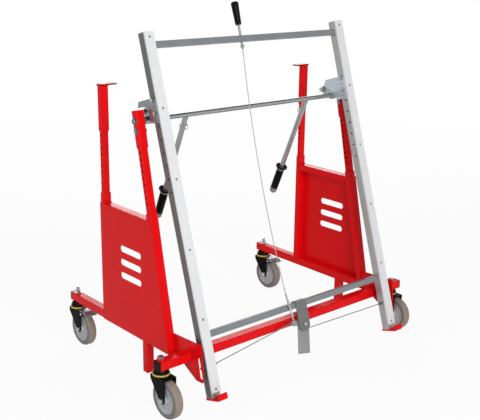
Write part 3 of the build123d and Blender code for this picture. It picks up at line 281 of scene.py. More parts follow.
def shade(colour, times, plus=0.0):
    """A colour made darker or lighter."""
    return tuple(min(part * times + plus, 1.0) for part in colour)


def paint(name, colour, gloss=0.08, corner=0.7 * MM):
    """Stove-enamelled steel: fine orange peel, slow shifts of tone, darker chips along the edges."""
    look = Look(name)
    tone = look.ramp(look.noise(7.0, detail=3.0), shade(colour, 0.94), colour)
    chips = look.span(look.noise(120.0, detail=5.0, rough=0.65), 0.0, 0.6, (0.50, 0.66))
    tone = look.mixed(look.maths("MULTIPLY", look.edges(1.2 * MM), chips), tone, shade(colour, 0.55))
    rough = look.span(look.noise(30.0, detail=4.0), 0.20, 0.28)
    peel = look.noise(300.0, detail=2.0)
    normal = look.bump(peel, distance=0.03 * MM, strength=0.3, below=look.rounded(corner))
    return look.finish(tone, rough, normal, specular=gloss)


def plastic(name, colour, grain=1400.0, rough=(0.30, 0.45), specular=0.4, edge=0.10, depth=0.10 * MM):
    """Moulded plastic with a fine spark-eroded grain, slow shade changes and a painted highlight along the
    edges.
    """
    look = Look(name)
    tone = look.ramp(look.noise(24.0, detail=4.0), shade(colour, 0.85), colour)
    # Painted highlight: lighter along the outer edges, by the amount edge
    tone = look.edge_tone(tone, 1.2 * MM, edge, shade(colour, 1.5, 0.02))
    shine = look.span(look.noise(60.0, detail=5.0), *rough)
    pits = look.noise(grain, detail=2.0)
    normal = look.bump(pits, distance=depth, strength=0.5, below=look.rounded(1.0 * MM))
    return look.finish(tone, shine, normal, specular=specular)


def metal(name, colour, rough, streak=NO_STRETCH, turn=LEVEL, metallic=0.9, paint_outer_shade=False):
    """Plain or plated metal: drawn streaks, cloudy tone, a painted highlight along the edges, perhaps
    painted shade on the outer sides.
    """
    look = Look(name)
    dull = shade(colour, 0.86)
    lines = look.noise(170.0, detail=4.0, rough=0.6, vector=look.stretched(streak, turn))
    tone = look.ramp(look.noise(20.0, detail=4.0), dull, colour)
    tone = look.mixed(look.span(lines, 0.0, 0.4), tone, shade(dull, 0.9))
    # Painted shade: the outer sides take a darker copy of the colour
    if paint_outer_shade:
        tone = look.mixed(look.outer_shade_mask(), tone, shade(colour, 0.45))
    # Painted highlight: lighter along the outer edges
    tone = look.edge_tone(tone, 0.8 * MM, 0.45, shade(colour, 1.3, 0.03))
    shine = look.span(look.noise(45.0, detail=5.0), *rough)
    normal = look.bump(lines, distance=0.03 * MM, strength=0.3, below=look.rounded(0.8 * MM))
    return look.finish(tone, shine, normal, metallic=metallic)


def galvanised(name, inner, outer, rough):
    """Zinc-dipped rail: faint spangle and drawn lines, painted shade on the outer sides, and a painted
    highlight along the edges.
    """
    look = Look(name)
    first, second = look.flakes(260.0)
    light = look.ramp(first, shade(inner, 0.90), inner, (0.1, 0.9))
    # Painted shade: the outer sides take the darker outer colour
    shaded_tone = look.ramp(first, shade(outer, 0.90), outer, (0.1, 0.9))
    tone = look.mixed(look.outer_shade_mask(), light, shaded_tone)
    drawn_out = look.stretched((1.0, 1.0, 0.03), ALONG_RAIL)
    lines = look.noise(150.0, detail=4.0, rough=0.6, vector=drawn_out)
    tone = look.mixed(look.span(lines, 0.0, 0.30), tone, shade(outer, 0.8))
    # Painted highlight: lighter along the outer edges
    tone = look.edge_tone(tone, 1.2 * MM, 0.35, shade(inner, 1.3, 0.02))
    shine = look.span(second, *rough, WHOLE)
    waves = look.bump(look.noise(60.0, detail=3.0), distance=0.3 * MM, strength=0.2)
    normal = look.bump(lines, distance=0.04 * MM, strength=0.4, below=waves)
    return look.finish(tone, shine, normal, metallic=0.6)


def rubber(name, tread, wall, rough, side_from, side_full):
    """Matt tyre rubber: a grey side wall, a browner worn tread, dust and fine pores."""
    look = Look(name)
    dust = look.noise(34.0, detail=5.0, rough=0.6)
    worn = look.ramp(dust, tread, shade(tread, 1.25, 0.01), (0.3, 0.75))
    clean = look.ramp(dust, wall, shade(wall, 1.12, 0.005), (0.3, 0.75))
    sideways = look.maths("ABSOLUTE", look.part(look.facing, "X"))
    tone = look.mixed(look.span(sideways, 0.0, 1.0, (side_from, side_full)), worn, clean)
    pores = look.noise(800.0, detail=3.0, rough=0.6)
    tone = look.mixed(look.span(pores, 0.22, 0.0, (0.3, 0.5)), tone, shade(tread, 0.6))
    shine = look.span(look.noise(55.0, detail=5.0), *rough)
    normal = look.bump(pores, distance=0.16 * MM, strength=0.5)
    return look.finish(tone, shine, normal, specular=0.3)


def strip_plastic(name, colour):
    """White sliding strip: long scuffs from boards over a milky plastic."""
    look = Look(name)
    tone = look.ramp(look.noise(7.0, detail=4.0), shade(colour, 0.97), colour)
    drawn_out = look.stretched(STRETCHED_UP, ALONG_RAIL)
    scuffs = look.noise(210.0, detail=5.0, rough=0.65, vector=drawn_out)
    tone = look.mixed(look.span(scuffs, 0.0, 0.35, (0.58, 0.75)), tone, shade(colour, 0.86))
    tone = look.edge_tone(tone, 1.5 * MM, 0.15, shade(colour, 0.82))
    shine = look.span(scuffs, 0.34, 0.50)
    normal = look.bump(scuffs, distance=0.08 * MM, strength=0.4)
    return look.finish(tone, shine, normal, specular=0.35)


RED = (0.74, 0.004, 0.006)
BLACK = (0.0035, 0.0033, 0.0032)
LOOKS = {
    "red_paint": paint("red_paint", RED),
    "plug_plastic": plastic("plug_plastic", BLACK, specular=0.06, edge=0.03),
    "zinc_bolt": metal("zinc_bolt", (0.44, 0.45, 0.46), (0.12, 0.22)),
    "dome_plastic": plastic("dome_plastic", BLACK, rough=(0.14, 0.24), specular=0.08, edge=0.02),
    "ring_plastic": plastic("ring_plastic", (0.62, 0.44, 0.08), rough=(0.3, 0.42)),
    # The second colour is painted shade for the rails' outer sides
    "rail_steel": galvanised("rail_steel", (0.42, 0.42, 0.41), (0.14, 0.14, 0.138), (0.36, 0.50)),
    "strip_plastic": strip_plastic("strip_plastic", (0.665, 0.675, 0.685)),
    # Painted shade on the brackets' outer plates
    "bracket_zinc": metal(
        "bracket_zinc", (0.49, 0.55, 0.60), (0.26, 0.40), metallic=0.8, paint_outer_shade=True
    ),
    "grip_rubber": plastic(
        "grip_rubber", BLACK, 700.0, (0.12, 0.22), specular=0.06, edge=0.02, depth=0.04 * MM
    ),
    "bright_steel": metal("bright_steel", (0.39, 0.40, 0.41), (0.16, 0.26)),
    "fork_black": plastic("fork_black", BLACK, 500.0, (0.20, 0.32), specular=0.03, edge=0.02),
    "wheel_plastic": plastic("wheel_plastic", (0.45, 0.46, 0.475), 1100.0, (0.38, 0.52), specular=0.2),
    "tread_rubber": rubber(
        "tread_rubber", (0.235, 0.190, 0.152), (0.165, 0.165, 0.162), (0.50, 0.70), 0.55, 0.85
    ),
    "pedal_steel": metal("pedal_steel", (0.38, 0.39, 0.43), (0.24, 0.38), metallic=0.8),
}
BAR_LOOK = metal("crossbar_steel", (0.36, 0.38, 0.39), (0.16, 0.26), STRETCHED_ACROSS)
CROSS_LOOK = metal("cross_steel", (0.23, 0.245, 0.262), (0.34, 0.46), STRETCHED_ACROSS, metallic=0.5)
LATCH_LOOK = metal("latch_grey", (0.175, 0.177, 0.178), (0.36, 0.50), metallic=0.5)
FOOT_LOOK = metal("lever_grey", (0.30, 0.305, 0.285), (0.36, 0.50), metallic=0.5)
CABLE_LOOK = metal("cable_wire", (0.42, 0.41, 0.38), (0.42, 0.56), metallic=0.1)
SCREW_LOOK = metal("dark_screw", (0.24, 0.24, 0.25), (0.35, 0.50), metallic=0.6)
COLLAR_LOOK = plastic("grip_collar", (0.20, 0.205, 0.205), 900.0, (0.24, 0.36), specular=0.35)
WIRE_LOOK = metal("latch_wire", (0.20, 0.22, 0.24), (0.26, 0.38), metallic=0.7)
# Near-black painted shade for the insides of the rails
SHADED_INSIDE_LOOK = metal("painted_shade_inside", (0.012, 0.012, 0.012), (0.55, 0.70), metallic=0.2)
BUCKLE_LOOK = metal("turnbuckle_zinc", (0.46, 0.46, 0.45), (0.30, 0.42), metallic=0.4)
HANDLE_LOOK = metal(
    "handle_steel", (0.36, 0.37, 0.38), (0.14, 0.24), STRETCHED_UP, ALONG_HANDLE, metallic=0.75
)
NUT_LOOK = metal("dark_nut", (0.20, 0.205, 0.21), (0.10, 0.18))
ROD_LOOK = metal("pull_rod_steel", (0.30, 0.30, 0.295), (0.34, 0.46), metallic=0.3)
POST_LOOK = paint("post_red", RED, corner=1.6 * MM)
# Painted shade for the rest plates: a dark matt red
SHADED_PLATE_LOOK = paint("painted_shade_red", shade(RED, 0.4), gloss=0.02, corner=0.3 * MM)

# Material slots by the starts of the nodes' names: the rest is painted red
SLOT_NODES = {
    "plug_plastic": ("tube_plugs",),
    "zinc_bolt": (
        "clamp_screws", "castor_stems", "pivot_bolts", "strip_screws", "handle_pins", "frame_bolts",
        "turnbuckle",
    ),
    "dome_plastic": ("castor_domes",),
    "ring_plastic": ("castor_rings",),
    "rail_steel": ("rail_", "top_cross_member", "bottom_cross_member"),
    "strip_plastic": ("wear_strips",),
    "bracket_zinc": ("pivot_brackets", "latch_plate", "release_lever"),
    "grip_rubber": ("handle_grips", "pull_grip"),
    "bright_steel": (
        "crossbar", "handle_tubes", "latch_springs", "latch_bolt", "pull_rod", "release_cable",
    ),
    "fork_black": ("castor_fork",),
    "wheel_plastic": ("wheel_core",),
    "tread_rubber": ("wheel_tyre",),
    "pedal_steel": ("brake_pedal",),
}
OWN_LOOKS = {
    "strip_screws": SCREW_LOOK,
    "crossbar": BAR_LOOK,
    "top_cross_member": CROSS_LOOK,
    "bottom_cross_member": CROSS_LOOK,
    "latch_plate": LATCH_LOOK,
    "release_lever": FOOT_LOOK,
    "latch_bolt_left": WIRE_LOOK,
    "latch_bolt_right": WIRE_LOOK,
    "pull_rod": ROD_LOOK,
    "handle_tubes": HANDLE_LOOK,
    "front_heads": POST_LOOK,
    "front_post_left": POST_LOOK,
    "front_post_right": POST_LOOK,
    "front_inner_tubes": POST_LOOK,
}


def look_of(name):
    """A node's own look, or that of its material slot."""
    if name in OWN_LOOKS:
        return OWN_LOOKS[name]
    for slot, starts in SLOT_NODES.items():
        if name.startswith(starts):
            return LOOKS[slot]
    return LOOKS["red_paint"]


for name, node in nodes.items():
    node.data.materials.clear()
    node.data.materials.append(look_of(name))

# Mesh pieces
SHARP_ANGLE = math.radians(38.0)
THIN_STEPS = 24
WASHER_EDGE = 0.4
HEXAGON_STEPS = 48
HEXAGON_FACE = 0.94
CORNER_FALL = math.tan(math.radians(30.0))
CAP_BASE = 0.45
CAP_SEAT = 0.74
CAP_DOME = 0.72
CAP_OVERLAP = 0.2
WELD_RIPPLE = 2.6
RIPPLE_SIZES = (0.86, 0.93, 1.0, 1.07, 1.14)
RING_RIPPLE_SIZES = (0.88, 0.96, 1.04, 1.12)
WELD_END = 0.55
LEAST_WELD_STEPS = 8
THREAD_DEPTH = 0.6
THREAD_LEAD = 0.4


def basis(axis):
    """Two directions square to an axis, and the axis itself."""
    along = Vector(axis).normalized()
    aside = UP if abs(along.z) < 0.9 else BACK
    first = aside.cross(along).normalized()
    return first, along.cross(first), along


def spokes(first, second, steps):
    """Directions at equal steps round a full turn, from one direction towards another."""
    turns = [FULL_TURN * step / steps for step in range(steps)]
    return [first * math.cos(turn) + second * math.sin(turn) for turn in turns]


class Shape:
    """Closed shells gathered into one mesh."""

    def __init__(self):
        self.points = []
        self.faces = []

    def rings(self, rings, closed=False):
        """Joins rings of points into a shell, closed on itself or by a flat face at each end."""
        start = len(self.points)
        count = len(rings[0])
        total = len(rings)
        for ring in rings:
            self.points.extend(ring)
        for row in range(total if closed else total - 1):
            here = start + row * count
            there = start + (row + 1) % total * count
            for step in range(count):
                after = (step + 1) % count
                self.faces.append((here + step, here + after, there + after, there + step))
        if not closed:
            self.faces.append(tuple(range(start, start + count)))
            self.faces.append(tuple(range(start + (total - 1) * count, start + total * count)))

    def lathe(self, profile, place, axis, steps=40, closed=False):
        """Turns a profile of (along, radius) points round an axis."""
        first, second, along = basis(axis)
        around = spokes(first, second, steps)
        rings = []
        for far, radius in profile:
            middle = Vector(place) + along * (far * MM)
            rings.append([middle + spoke * (radius * MM) for spoke in around])
        self.rings(rings, closed)

    def rod(self, place, axis, radius, length):
        """A plain round bar."""
        self.lathe(((0.0, radius), (length, radius)), place, axis)

    def washer(self, place, axis, radius, height):
        """A washer with softened rims."""
        inside = radius - WASHER_EDGE
        rims = ((0.0, inside), (WASHER_EDGE, radius), (height - WASHER_EDGE, radius), (height, inside))
        self.lathe(rims, place, axis)

    def hexagon(self, place, axis, radius, height, both=False):
        """A hexagon nut or head with turned-down corners at its far end, or at both ends."""
        first, second, along = basis(axis)
        origin = Vector(place)
        top = height * MM
        flat = radius * MM * math.cos(math.pi / 6.0)
        face = flat * HEXAGON_FACE
        foot, lower, upper, crown = [], [], [], []
        for step, spoke in enumerate(spokes(first, second, HEXAGON_STEPS)):
            turn = FULL_TURN * step / HEXAGON_STEPS
            reach = flat / math.cos((turn % (math.pi / 3.0)) - math.pi / 6.0)
            fall = (reach - face) * CORNER_FALL
            foot.append(origin + spoke * face)
            lower.append(origin + spoke * reach + along * (fall if both else 0.0))
            upper.append(origin + spoke * reach + along * (top - fall))
            crown.append(origin + spoke * face + along * top)
        self.rings([foot, lower, upper, crown] if both else [lower, upper, crown])

    def cap_nut(self, place, axis, radius, height):
        """A low hexagon with a dome over it."""
        base = CAP_BASE * height
        self.hexagon(place, axis, radius, base)
        dome = [(base - CAP_OVERLAP, CAP_SEAT * radius)]
        for degrees in (0, 14, 28, 42, 56, 70, 84):
            turn = math.radians(degrees)
            dome.append((base + (height - base) * math.sin(turn), CAP_DOME * radius * math.cos(turn)))
        self.lathe(dome, place, axis)

    def tube(self, path, radii, sides=8, closed=False):
        """A round bar along a path, with one radius for each of its points."""
        rings = []
        across = None
        last = len(path) - 1
        for index, point in enumerate(path):
            before = path[index - 1] if index or closed else path[0]
            after = path[(index + 1) % len(path)] if index < last or closed else path[last]
            along = (after - before).normalized()
            if across is None:
                across = basis(along)[0]
            else:
                across = (across - along * across.dot(along)).normalized()
            around = spokes(across, along.cross(across), sides)
            rings.append([point + spoke * (radii[index] * MM) for spoke in around])
        self.rings(rings, closed)

    def wire(self, path, radius, sides=8, closed=False):
        """A round bar of one thickness along a path."""
        self.tube(path, [radius] * len(path), sides, closed)

    def bead(self, start, end, radius):
        """A weld bead: a rippled bar between two points, half sunk into the corner that it fills."""
        run = Vector(end) - Vector(start)
        count = len(RIPPLE_SIZES)
        steps = max(LEAST_WELD_STEPS, count * round(run.length / (WELD_RIPPLE * MM)))
        path = [Vector(start) + run * (step / steps) for step in range(steps + 1)]
        radii = [radius * RIPPLE_SIZES[step % count] for step in range(steps + 1)]
        radii[0] = radii[-1] = radius * WELD_END
        self.tube(path, radii)

    def ring_bead(self, place, axis, radius, thickness):
        """A weld bead round a bar."""
        first, second, _ = basis(axis)
        count = len(RING_RIPPLE_SIZES)
        steps = 2 * count * round(FULL_TURN * radius / WELD_RIPPLE / 2)
        path = [Vector(place) + spoke * (radius * MM) for spoke in spokes(first, second, steps)]
        radii = [thickness * RING_RIPPLE_SIZES[step % count] for step in range(steps)]
        self.tube(path, radii, closed=True)

    def thread(self, place, axis, radius, length, pitch=1.5):
        """A threaded bar: crests and roots one pitch apart, with a lead chamfer at its far end."""
        root = radius - THREAD_DEPTH * pitch
        lead = THREAD_LEAD * pitch
        profile = [(0.0, root)]
        for turn in range(int(length / pitch)):
            for part, reach in ((0.25, root), (0.6, radius), (0.75, radius)):
                profile.append(((turn + part) * pitch, reach))
        profile.append((length - lead, root))
        profile.append((length, root - lead))
        self.lathe(profile, place, axis, THIN_STEPS)


def add_piece(name, shape, body, slot, look=None):
    """Makes an object of a shape, in the finish of a material slot, that rides on a body."""
    mesh = bpy.data.meshes.new(name)
    mesh.from_pydata([tuple(point) for point in shape.points], [], shape.faces)
    work = bmesh.new()
    work.from_mesh(mesh)
    bmesh.ops.recalc_face_normals(work, faces=work.faces)
    work.to_mesh(mesh)
    work.free()
    mesh.shade_smooth()
    mesh.set_sharp_from_angle(angle=SHARP_ANGLE)
    mesh.materials.append(look or LOOKS[slot])
    made = bpy.data.objects.new(name, mesh)
    scene.collection.objects.link(made)
    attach(made, body)
    return made


def second_look(name, look, chosen):
    """Gives another look to the chosen faces of a node."""
    nodes[name].data.materials.append(look)
    for face in chosen:
        face.material_index = 1


# Places taken from the frame
PIVOT = Vector(joints["frame_tilt"]["pos_m"])
PIVOT_UP = 860.0
PIVOT_BACK = 85.0


def leaning(angle):
    """Up and back directions of a member that leans back by an angle."""
    up = Vector((0.0, math.sin(angle), math.cos(angle)))
    return up, Vector((0.0, math.cos(angle), -math.sin(angle)))


RAIL_UP, RAIL_REAR = leaning(RAIL_TILT)
POST_UP, POST_REAR = leaning(POST_SLANT)
HANDLE_UP = leaning(HANDLE_LEAN)[0]


def on_rail(x, up, back):
    """A point of the tilting frame in millimetres: across, up the rail, back from the strips' faces."""
    far = RAIL_UP * ((up - PIVOT_UP) * MM) + RAIL_REAR * ((back - PIVOT_BACK) * MM)
    return PIVOT + far + RIGHT * (x * MM)


def on_post(x, up):
    """A point of a front post in millimetres: across, and up along the post from the pivot."""
    return PIVOT + POST_UP * (up * MM) + RIGHT * (x * MM)


# Wheels: a turned centre with a rim lip, a tyre with a parting line and side rings, and zinc axle ends
CORE_HALF = (
    (19.2, 6.1), (19.2, 11.6), (18.6, 12.4), (15.0, 13.4), (13.2, 15.0), (12.8, 17.0), (12.6, 33.0),
    (12.0, 33.6), (12.0, 34.6), (12.6, 35.2), (12.8, 38.0), (13.8, 39.4), (14.6, 40.6), (15.0, 42.0),
    (15.0, 44.2), (14.4, 45.0), (12.0, 45.0), (11.0, 44.2),
)
TYRE_HALF = (
    (11.2, 44.3), (12.2, 45.2), (14.6, 45.2), (15.6, 46.6), (15.9, 49.4), (15.5, 50.0), (15.5, 50.8),
    (15.9, 51.4), (16.0, 53.6), (15.4, 56.6), (13.8, 59.4), (11.4, 61.3), (8.8, 62.1), (6.0, 62.4),
    (0.9, 62.5), (0.5, 62.2),
)
CORE_STEPS = 72
TYRE_STEPS = 96
FORK_OUTSIDE = 24.05 * MM
AXLE_REACH = 14.0 * MM


def both_halves(half):
    """A closed profile from one half of it, mirrored about the wheel's middle plane."""
    return [*half, *((-along, radius) for along, radius in reversed(half))]


for castor in CASTORS:
    axle = Vector(joints[f"wheel_{castor}_roll"]["pos_m"])
    core = Shape()
    core.lathe(both_halves(CORE_HALF), axle, RIGHT, CORE_STEPS, closed=True)
    made = add_piece(f"wheel_centre_{castor}", core, f"wheel_{castor}", "wheel_plastic")
    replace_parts(made, f"wheel_core_{castor}")
    tyre = Shape()
    tyre.lathe(both_halves(TYRE_HALF), axle, RIGHT, TYRE_STEPS, closed=True)
    made = add_piece(f"tyre_{castor}", tyre, f"wheel_{castor}", "tread_rubber")
    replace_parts(made, f"wheel_tyre_{castor}")
    tips = []
    for face in nodes[f"castor_fork_{castor}"].data.polygons:
        away = face.center - axle
        if abs(away.x) > FORK_OUTSIDE and abs(away.z) < AXLE_REACH:
            tips.append(face)
    second_look(f"castor_fork_{castor}", LOOKS["zinc_bolt"], tips)

# Painted shade: near-black insides of the drilled rails, where their holes show the inside
RAIL_MIDDLE = 414.0 * MM
HALF_INSIDE = 16.8 * MM
INSIDE_FRONT = 6.2 * MM
INSIDE_BACK = 33.8 * MM
for label, _ in SIDES:
    shaded_insides = []
    for face in nodes[f"rail_{label}"].data.polygons:
        depth = (face.center - PIVOT).dot(RAIL_REAR) + PIVOT_BACK * MM
        between_sides = abs(abs(face.center.x) - RAIL_MIDDLE) < HALF_INSIDE
        if between_sides and INSIDE_FRONT < depth < INSIDE_BACK:
            shaded_insides.append(face)
    second_look(f"rail_{label}", SHADED_INSIDE_LOOK, shaded_insides)

# Dark caps on the front heads, and painted shade on the rest plates: a dark matt red
REST_PLATE = 5.0 * MM
LEVEL_GAP = 0.1 * MM
head_faces = nodes["front_heads"].data.polygons
rises = [(face.center - PIVOT).dot(POST_UP) for face in head_faces]
cap_level = max(rises) - LEVEL_GAP
caps = [face for face, rise in zip(head_faces, rises) if rise > cap_level]
second_look("front_heads", LOOKS["plug_plastic"], caps)
for label, _ in SIDES:
    plate_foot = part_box(f"rear_head_{label}")[1].z - REST_PLATE
    faces = nodes[f"rear_head_{label}"].data.polygons
    plate = [face for face in faces if face.center.z > plate_foot - LEVEL_GAP]
    # Painted shade: the rest plates' faces take the dark matt red
    second_look(f"rear_head_{label}", SHADED_PLATE_LOOK, plate)

# Castor stems with threads, washers and nuts: sizes that go together are (radius, height)
BAR_BOTTOM, BAR_TOP = (corner.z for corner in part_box("chassis_bar_left"))
STEM_LOW, STEM_HIGH = (corner.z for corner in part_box("castor_stems"))
STEM_RADIUS = 6.0
STEM_WASHER = (12.5, 2.5)
STEM_NUT = 10.5
REAR_NUT_HEIGHT = 10.0
FRONT_NUT_HEIGHT = 4.0
THREAD_OVERLAP = 1.0
KINGPIN_HEAD = ((0.0, 7.6), (0.8, 9.0), (3.0, 9.0), (3.0, STEM_RADIUS))
stems = Shape()
for castor in CASTORS:
    x, y, _ = joints[f"castor_{castor}_swivel"]["pos_m"]
    rear = castor.startswith("rear")
    nut_height = REAR_NUT_HEIGHT if rear else FRONT_NUT_HEIGHT
    nut_foot = BAR_TOP + STEM_WASHER[1] * MM
    shank_end = ((nut_foot - STEM_LOW) / MM, STEM_RADIUS)
    stems.lathe((*KINGPIN_HEAD, shank_end), (x, y, STEM_LOW), UP)
    stems.washer((x, y, BAR_TOP), UP, *STEM_WASHER)
    stems.hexagon((x, y, nut_foot), UP, STEM_NUT, nut_height, both=True)
    if rear:
        thread_foot = nut_foot + (nut_height - THREAD_OVERLAP) * MM
        stems.thread((x, y, thread_foot), UP, STEM_RADIUS, (STEM_HIGH - thread_foot) / MM)
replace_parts(add_piece("stems_and_nuts", stems, "chassis", "zinc_bolt"), "castor_stems")

# Brake pedals get pressed ribs across their plates
RIB_LEVEL = 137.0 * MM
RIB_COUNT = 4
RIB_FIRST = 7.0
RIB_PITCH = 6.0
HALF_RIB = RIGHT * (16.0 * MM)
RIB_RADII = (0.7, *[1.3] * 11, 0.7)
RIB_PARTS = [index / (len(RIB_RADII) - 1) for index in range(len(RIB_RADII))]
for castor in ("rear_left", "rear_right"):
    plate_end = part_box(f"brake_pedal_{castor}")[1].y
    middle = joints[f"castor_{castor}_swivel"]["pos_m"][0]
    ribs = Shape()
    for step in range(RIB_COUNT):
        rib = Vector((middle, plate_end - (RIB_FIRST + RIB_PITCH * step) * MM, RIB_LEVEL))
        path = [(rib - HALF_RIB).lerp(rib + HALF_RIB, part) for part in RIB_PARTS]
        ribs.tube(path, RIB_RADII, sides=10)
    add_piece(f"pedal_ribs_{castor}", ribs, f"pedal_{castor}", "pedal_steel")

# Pivot bolts and the heads' second bolts
FRAME_WIDTH = 30.0
OUTER_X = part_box("front_heads")[1].x / MM
INNER_X = OUTER_X - FRAME_WIDTH
RAIL_INNER, RAIL_OUTER = (corner.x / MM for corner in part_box("rail_right"))
PIVOT_BOLT = 6.0
BOLT_CHAMFER = 0.6
BOLT_INSET = 0.5
PIVOT_SHANK = (
    (0.0, PIVOT_BOLT - BOLT_CHAMFER), (BOLT_CHAMFER, PIVOT_BOLT), (OUTER_X - RAIL_INNER, PIVOT_BOLT),
)
PIVOT_WASHER = (12.0, 2.2)
NUT_WASHER = (12.0, 2.0)
PIVOT_NUT = (10.5, 8.0)
STOP_DROP = -30.0
STOP_OVERLAP = 2.0
STOP_WASHER = (10.0, 2.0)
STOP_HEAD = (8.5, 5.0)
SMALL_BOLT = 4.0
SMALL_NUT = (7.5, 5.5)
pivots = Shape()
for _, side in SIDES:
    out = RIGHT * side
    pivots.lathe(PIVOT_SHANK, on_post(side * (RAIL_INNER + BOLT_INSET), 0.0), out)
    pivots.washer(on_post(side * (INNER_X - PIVOT_WASHER[1]), 0.0), out, *PIVOT_WASHER)
    pivots.washer(on_post(side * OUTER_X, 0.0), out, *NUT_WASHER)
    pivots.cap_nut(on_post(side * (OUTER_X + NUT_WASHER[1]), 0.0), out, *PIVOT_NUT)
    stop_start = on_post(side * (INNER_X - STOP_OVERLAP), STOP_DROP)
    pivots.rod(stop_start, out, SMALL_BOLT, FRAME_WIDTH + STOP_OVERLAP)
    pivots.hexagon(on_post(side * INNER_X, STOP_DROP), -out, *STOP_HEAD)
    pivots.washer(on_post(side * OUTER_X, STOP_DROP), out, *STOP_WASHER)
    pivots.cap_nut(on_post(side * (OUTER_X + STOP_WASHER[1]), STOP_DROP), out, *SMALL_NUT)
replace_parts(add_piece("pivot_bolt_set", pivots, "front_lift", "zinc_bolt", NUT_LOOK), "pivot_bolts")

# Bolts of the tilting frame
BRACKET = 3.0
BRACKET_GRIP = RAIL_OUTER - RAIL_INNER + 2 * BRACKET
BRACKET_BOLTS = ((911.5, 20.5), (870.5, 20.5))
LUG_AT = (889.0, 120.0)
LUG_PLATE = 5.0
LUG_BOLT = 5.0
LUG_WASHER = (10.0, 2.0)
LUG_NUT = (9.0, 8.0)
LEVER_AT = 107.0
PLATE_FRONT = 7.0
LEVER_NUT_AT = 17.1
LEVER_BOLT_LENGTH = 9.8
LEVER_WASHER_AT = 10.0
LEVER_WASHER = (7.0, 2.5)
bolts = Shape()
for _, side in SIDES:
    out = RIGHT * side
    bracket_inner = side * (RAIL_INNER - BRACKET)
    bracket_outer = side * (RAIL_OUTER + BRACKET)
    for bolt_at in BRACKET_BOLTS:
        bolts.rod(on_rail(bracket_inner, *bolt_at), out, SMALL_BOLT, BRACKET_GRIP)
        bolts.hexagon(on_rail(bracket_inner, *bolt_at), -out, *SMALL_NUT)
        bolts.hexagon(on_rail(bracket_outer, *bolt_at), out, *SMALL_NUT)
    bolts.washer(on_rail(side * RAIL_INNER, *LUG_AT), -out, *LUG_WASHER)
    bolts.hexagon(on_rail(side * (RAIL_INNER - LUG_WASHER[1]), *LUG_AT), -out, *LUG_NUT)
    bolts.rod(on_rail(side * RAIL_INNER, *LUG_AT), out, LUG_BOLT, LUG_PLATE)
    bolts.hexagon(on_rail(side * (RAIL_INNER + LUG_PLATE), *LUG_AT), out, *LUG_NUT)
bolts.hexagon(on_rail(0.0, LEVER_AT, PLATE_FRONT), -RAIL_REAR, *SMALL_NUT)
bolts.rod(on_rail(0.0, LEVER_AT, PLATE_FRONT), RAIL_REAR, SMALL_BOLT, LEVER_BOLT_LENGTH)
bolts.washer(on_rail(0.0, LEVER_AT, LEVER_WASHER_AT), RAIL_REAR, *LEVER_WASHER)
bolts.hexagon(on_rail(0.0, LEVER_AT, LEVER_NUT_AT), RAIL_REAR, *SMALL_NUT)
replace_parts(add_piece("frame_bolt_set", bolts, "tilt_frame", "zinc_bolt"), "frame_bolts")

# Clamp screws on the sleeves and sockets
POST_HALF = 12.5 * MM
POST_DROP = 288.0
FRONT_SCREW = 9.0
REAR_SCREW = 12.0 * MM
SOCKET_SCREW = 42.0 * MM
SOCKET_WIDTH = 27.0 * MM
SLIDE_GAP = 2.2
SOCKET_GAP = 3.0
CLAMP_NUT = (6.0, 3.0)
CLAMP_HEAD = (5.0, 4.0)
CLAMP_RADIUS = 3.0
CLAMP_CHAMFER = 0.4
SIDE_X = OUTER_X - FRAME_WIDTH / 2
rear_low, rear_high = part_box("rear_post_right")
socket_low, socket_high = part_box("socket_tubes")
socket_x = socket_high.x - SOCKET_WIDTH / 2
seats = (
    (Vector((SIDE_X * MM, rear_high.y, rear_high.z - REAR_SCREW)), BACK, SLIDE_GAP),
    (on_post(SIDE_X, -POST_DROP - FRONT_SCREW) + POST_REAR * POST_HALF, POST_REAR, SLIDE_GAP),
    (Vector((socket_x, socket_high.y, socket_high.z - SOCKET_SCREW)), BACK, SOCKET_GAP),
)
screws = Shape()
for place, axis, reach in seats:
    tip = (-reach, CLAMP_RADIUS - CLAMP_CHAMFER)
    shank = (tip, (CLAMP_CHAMFER - reach, CLAMP_RADIUS), (CLAMP_NUT[1], CLAMP_RADIUS))
    for _, side in SIDES:
        seat = Vector((side * place.x, place.y, place.z))
        screws.hexagon(seat, axis, *CLAMP_NUT)
        screws.lathe(shank, seat, axis, THIN_STEPS)
        screws.hexagon(seat + axis * (CLAMP_NUT[1] * MM), axis, *CLAMP_HEAD)
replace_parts(add_piece("clamp_screw_set", screws, "chassis", "zinc_bolt"), "clamp_screws")

# Handle grips: a cupped flange, a grey collar, a black sleeve, and a tip in the collar's grey that is a
# painted reflection on its rounded end
HANDLE_X = 270.0 * MM
GRIP_STEPS = 48
GRIP_FLANGE = (
    (298.0, 9.2), (297.0, 11.0), (296.5, 15.5), (293.6, 18.2), (293.0, 20.2), (293.6, 21.6), (295.4, 22.0),
    (297.4, 21.8), (298.8, 20.6), (299.8, 17.6), (300.6, 14.8), (300.6, 9.2),
)
GRIP_COLLAR = ((300.6, 9.2), (300.6, 15.0), (301.4, 15.6), (307.2, 15.6), (308.0, 15.0), (308.0, 9.2))
GRIP_SLEEVE = (
    (308.0, 9.2), (308.0, 13.2), (309.0, 14.0), (313.0, 14.0), (314.0, 13.5), (315.0, 14.0), (340.0, 14.1),
    (365.0, 14.0), (386.0, 13.8), (387.0, 13.3), (388.0, 13.8), (391.2, 13.8), (392.0, 13.2), (392.0, 9.2),
)
GRIP_TIP = (
    (392.0, 0.8), (392.0, 13.0), (393.0, 13.6), (402.0, 13.5), (407.0, 12.6), (411.0, 10.4), (413.4, 7.4),
    (414.6, 4.0), (415.0, 0.8),
)
